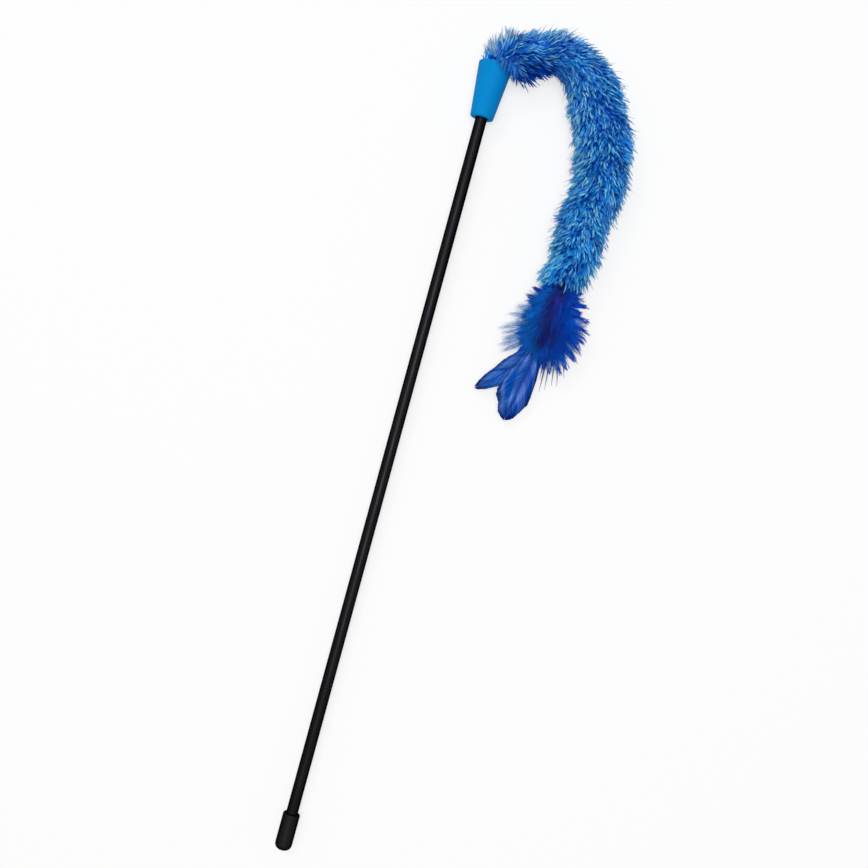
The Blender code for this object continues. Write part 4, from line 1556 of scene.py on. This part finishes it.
class SpoonFeather:
    """A shaft with barbs that lie side by side in a cambered vane."""

    SEED = 500
    SPACING, TIP_SPACING, CLOSE_FROM = 0.0040, 0.35, 0.90
    ACROSS = np.linspace(0.0, 1.0, 9)
    ROLL_START, ROLL_WIDTH = 0.15, 0.35
    WIDTH_SPREAD = 0.02
    ROOT_BACK, ROOT_SLANT, ROOT_RANGE = 0.06, 0.020, (0.05, 0.965)
    OUT_POWER, ALONG_POWER = 1.5, 1.15
    SPLITS, SPLIT_SPREAD = 13, 0.0025
    CAMBER, RIPPLE = 18.0, 0.00005
    LANES, LANE_BETA, LANE_WIDTH, LANE_WAVE, LANE_RATE = 14, (0.45, 0.80), 0.92, 0.05, 9.0
    BLOTCHES, BLOTCH_SPREAD, BARB_SPREAD = 24, 0.12, 0.08
    RIM_START, RIM_WIDTH, RIM_SHADE = 0.66, 0.22, 0.65
    TIP_START, TIP_WIDTH, TIP_SHADE = 0.95, 0.05, 0.5
    MOST_SHADE, FIRST_REACH, LEFT_HUE = 0.95, 0.35, 0.2
    BARB_MM, BARB_TAPER_MM = 0.42, 0.17
    SHAFT_POINTS, SHAFT_LIFT, SHAFT_TONE = 18, 0.0001, 0.4
    SHAFT_MM, SHAFT_TAPER_MM = 0.60, 0.48

    def __init__(self, bundle: Bundle, shape: SpoonShape) -> None:
        """Keep the bundle's axes and the feather's shape."""
        self.bundle, self.shape = bundle, shape
        self.path = np.array(shape.path_mm) * MM

    def place(self, share: Array, across: Array, above: Array) -> Array:
        """Carry points beside the shaft into the frame.

        Args:
            share: shares of the shaft's length.
            across: distances to the shaft's side.
            above: distances above the vane.

        Returns:
            The points in the frame.
        """
        t = share[..., None]
        first, second, third, last = self.path
        on = first * (1 - t) ** 3 + 3 * second * t * (1 - t) ** 2 + 3 * third * t**2 * (1 - t) + last * t**3
        along = (second - first) * (1 - t) ** 2 + 2 * (third - second) * t * (1 - t) + (last - third) * t**2
        along = unit(along[..., :2])
        roll = np.radians(self.shape.roll) * ramp(share, self.ROLL_START, self.ROLL_WIDTH)
        flat = across * np.cos(roll) - above * np.sin(roll)
        lift = across * np.sin(roll) + above * np.cos(roll)
        side, ahead = on[..., 0] + along[..., 1] * flat, on[..., 1] - along[..., 0] * flat
        return self.bundle.to_frame(np.stack((side, on[..., 2] + lift, ahead), axis=-1))

    def barb_ends(self, start: float) -> Array:
        """Shares of the shaft where the barbs end, from the vane's start on and closer at the tip."""
        close = np.arange(self.CLOSE_FROM, 1.0, self.SPACING * self.TIP_SPACING)
        return np.concatenate([np.arange(start, self.CLOSE_FROM, self.SPACING), close])

    def half_vane(self, sign: float, widths: Curve, chance: Chance) -> Fibres:
        """The barbs of one side.

        Args:
            sign: -1 for the left side and 1 for the right.
            widths: the vane's width in millimetres at shares of the shaft.
            chance: the seeded generator.

        Returns:
            The barbs.
        """
        ends = self.barb_ends(widths[0][0])
        count, s = len(ends), self.ACROSS[None]
        uneven = 1.0 + chance.normal(0.0, self.WIDTH_SPREAD, count)
        width = np.interp(ends, *np.array(widths).T) * MM * uneven
        roots = np.clip(ends - self.ROOT_BACK - width / MM * self.ROOT_SLANT, *self.ROOT_RANGE)
        across = sign * width[:, None] * (1 - (1 - s) ** self.OUT_POWER)
        known = np.linspace(0.0, 1.0, self.SPLITS)
        splits = np.interp(ends, known, chance.normal(0.0, self.SPLIT_SPREAD, self.SPLITS))
        share = roots[:, None] + (ends - roots)[:, None] * s**self.ALONG_POWER + splits[:, None] * s
        above = -self.CAMBER * across**2 + chance.normal(0.0, self.RIPPLE, (count, 1))
        lanes = chance.beta(*self.LANE_BETA, self.LANES) * self.shape.lift
        lane = held(s * self.LANE_WIDTH + self.LANE_WAVE * np.sin(share * self.LANE_RATE + self.shape.seed))
        tone = np.interp(lane, np.linspace(0.0, 1.0, self.LANES), lanes)
        known = np.linspace(0.0, 1.0, self.BLOTCHES)
        blotch = np.interp(ends, known, chance.normal(0.0, self.BLOTCH_SPREAD, self.BLOTCHES))
        tone = held(tone + blotch[:, None] + chance.normal(0.0, self.BARB_SPREAD, (count, 1)))
        rim = ramp(s, self.RIM_START, self.RIM_WIDTH) * self.RIM_SHADE
        tip = ramp(ends[:, None], self.TIP_START, self.TIP_WIDTH) * self.TIP_SHADE
        hue_share = self.LEFT_HUE + (1 - self.LEFT_HUE) * (sign > 0)
        values = {
            "reach": held(self.FIRST_REACH + s * (1 - self.FIRST_REACH)),
            "tone": tone,
            "hue": np.full((count, 1), self.shape.hue * hue_share),
            "shade": np.clip(rim + tip, 0.0, self.MOST_SHADE),
        }
        radii_mm = self.BARB_MM - self.BARB_TAPER_MM * self.ACROSS
        return Fibres(self.place(share, across, above), radii_mm, values)

    def shaft(self) -> Fibres:
        """The tapered shaft.

        Returns:
            One fibre.
        """
        steps = np.linspace(0.0, 1.0, self.SHAFT_POINTS)
        points = self.place(steps, np.zeros_like(steps), np.full_like(steps, self.SHAFT_LIFT))[None]
        values = {"reach": steps[None], "tone": np.full((1, len(steps)), self.SHAFT_TONE)}
        return Fibres(points, (self.SHAFT_MM - self.SHAFT_TAPER_MM * steps)[None], values)

    def build(self) -> None:
        """Make the feather."""
        title = "spoon_" + self.shape.name
        chance = np.random.default_rng(self.SEED + self.shape.seed)
        halves = ((-1.0, self.shape.left_mm), (1.0, self.shape.right_mm))
        sides = [self.half_vane(sign, widths, chance) for sign, widths in halves]
        barbs = Fibres.joined(sides).laid_on(TABLE)
        vane = barbs.mesh_object(title + "_vane", Profile.RIBBON, VANE_FINISH, upright=True)
        shaft = self.shaft().mesh_object(title + "_shaft", Profile.QUILL, SHAFT_FINISH, capped=True)
        for piece in (vane, shaft):
            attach(piece, "feathers")
        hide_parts("spoon_feather_" + self.shape.name)


SPOONS = (
    SpoonShape(
        "left", ((0.0, 19.0, 0.0), (0.0, 48.0, 0.0), (-4.0, 66.0, -1.0), (-25.2, 84.2, -4.5)),
        ((0.30, 1.0), (0.50, 3.4), (0.72, 6.0), (0.86, 4.8), (0.90, 4.3), (0.96, 2.6), (1.0, 0.5)),
        ((0.30, 1.0), (0.50, 3.8), (0.72, 4.8), (0.86, 4.5), (0.94, 3.0), (0.985, 1.6), (1.0, 0.4)),
        roll=6.0, hue=0.0, lift=0.5, seed=1,
    ),
    SpoonShape(
        "middle", ((0.5, 19.0, 2.6), (0.5, 50.0, 3.0), (-2.0, 72.0, 1.0), (-3.6, 96.0, -3.5)),
        ((0.25, 1.0), (0.50, 5.0), (0.70, 9.0), (0.80, 10.5), (0.844, 9.8), (0.89, 7.2), (0.96, 5.0),
         (0.985, 2.6), (1.0, 0.4)),
        ((0.25, 1.0), (0.50, 4.6), (0.68, 7.2), (0.844, 7.6), (0.89, 6.3), (0.92, 5.2), (0.96, 4.1),
         (0.985, 2.4), (1.0, 0.4)),
        roll=-8.0, hue=0.35, lift=1.0, seed=2,
    ),
    SpoonShape(
        "right", ((1.0, 19.0, -2.6), (1.5, 45.0, -3.0), (3.0, 66.0, -3.6), (4.6, 85.0, -5.5)),
        ((0.30, 0.8), (0.50, 4.4), (0.76, 5.8), (0.92, 3.8), (0.985, 1.6), (1.0, 0.4)),
        ((0.30, 0.8), (0.50, 1.8), (0.74, 2.5), (0.90, 2.0), (0.985, 1.2), (1.0, 0.4)),
        roll=40.0, hue=0.2, lift=0.7, seed=3,
    ),
)


# The rigid pieces and the studio


class Hardware:
    """The CAD nodes that stay in view, with their finishes."""

    FINISHES = {
        "rod": ROD_FINISH,
        "end_cap": CAP_FINISH,
        "collar": COLLAR_FINISH,
        "core_crimp": CRIMP_FINISH,
        "tie_thread": THREAD_FINISH,
    }
    SHARP = math.radians(32.0)

    def build(self) -> None:
        """Dress the nodes."""
        for name, finish in self.FINISHES.items():
            node = frame["nodes"][name]
            node.data.materials.clear()
            node.data.materials.append(finish.material())
            node.data.polygons.foreach_set("use_smooth", np.ones(len(node.data.polygons), bool))
            node.data.set_sharp_from_angle(angle=self.SHARP)
            LOG.info("%s dressed", name)


@dataclass(frozen=True)
class CameraPlace:
    """Where the photograph was taken from: straight above, with the wand turned in the picture."""

    x: float = 0.0208
    y: float = 0.2468
    height: float = 0.6755
    turn: float = 15.29
    lens: float = 50.0
    nearest: float = 0.01


@dataclass(frozen=True)
class Lamp:
    """A soft square lamp: where it hangs, its side and its power in watts."""

    name: str
    place: Triple
    size: float
    power: float


class Studio:
    """The floor, the lamps and the camera."""

    AIM = Vector((0.03, 0.25, 0.0))
    LAMPS = (Lamp("overhead", (0.02, 0.25, 2.5), 1.2, 41.0), Lamp("key", (-1.0, 1.2, 2.0), 0.8, 9.0))
    WORLD_LEVEL = 0.26
    WHITE = (1.0, 1.0, 1.0)
    FLOOR_SIZE, FLOOR_MIDDLE, FLOOR_GAP = 3.0, 0.2, 0.00005

    def __init__(self, camera: CameraPlace) -> None:
        """Keep the camera's place."""
        self.camera = camera

    def floor(self) -> None:
        """A plain white floor under the wand that keeps a light shadow."""
        body = bmesh.new()
        bmesh.ops.create_grid(body, x_segments=2, y_segments=2, size=self.FLOOR_SIZE)
        bmesh.ops.translate(body, verts=body.verts, vec=(0.0, self.FLOOR_MIDDLE, TABLE - self.FLOOR_GAP))
        mesh = bpy.data.meshes.new("floor")
        body.to_mesh(mesh)
        body.free()
        mesh.materials.append(FLOOR_FINISH.material())
        floor = placed("floor", mesh)

    def world(self) -> None:
        """An even light from all round that is plain white where it is seen."""
        world = bpy.data.worlds.new("studio")
        world.use_nodes = True
        graph = Graph(world.node_tree)
        strength = graph.math("MAXIMUM", graph.seen_plain(), self.WORLD_LEVEL)
        sky = graph.node("Background", {"Color": self.WHITE, "Strength": strength}).outputs[0]
        graph.node("OutputWorld", {"Surface": sky})
        bpy.context.scene.world = world

    def lamps(self) -> None:
        """The soft lamps."""
        for lamp in self.LAMPS:
            data = bpy.data.lights.new(lamp.name, "AREA")
            data.shape = "SQUARE"
            data.size = lamp.size
            data.energy = lamp.power
            made = placed(lamp.name, data)
            made.location = lamp.place
            made.rotation_euler = (Vector(lamp.place) - self.AIM).to_track_quat("Z", "Y").to_euler()

    def build(self) -> None:
        """Set up the studio."""
        self.floor()
        self.world()
        self.lamps()
        place = self.camera
        data = bpy.data.cameras.new("camera")
        data.lens = place.lens
        data.clip_start = place.nearest
        made = placed("camera", data)
        made.location = (place.x, place.y, place.height)
        made.rotation_euler = (0.0, 0.0, math.radians(place.turn))
        bpy.context.scene.camera = made
        bpy.context.scene.view_settings.view_transform = "Standard"


def main() -> None:
    """Build every piece in order."""
    logging.basicConfig(level=logging.INFO, format="%(name)s: %(message)s")
    Hardware().build()
    PlushTail(Strays(), Fringe(), Drape()).build()
    bundle = Bundle()
    for shape in SPOONS:
        SpoonFeather(bundle, shape).build()
    MarabouPuff(bundle, PuffStyle(), Spines()).build()
    Studio(CameraPlace()).build()


if __name__ == "__main__":
    main()
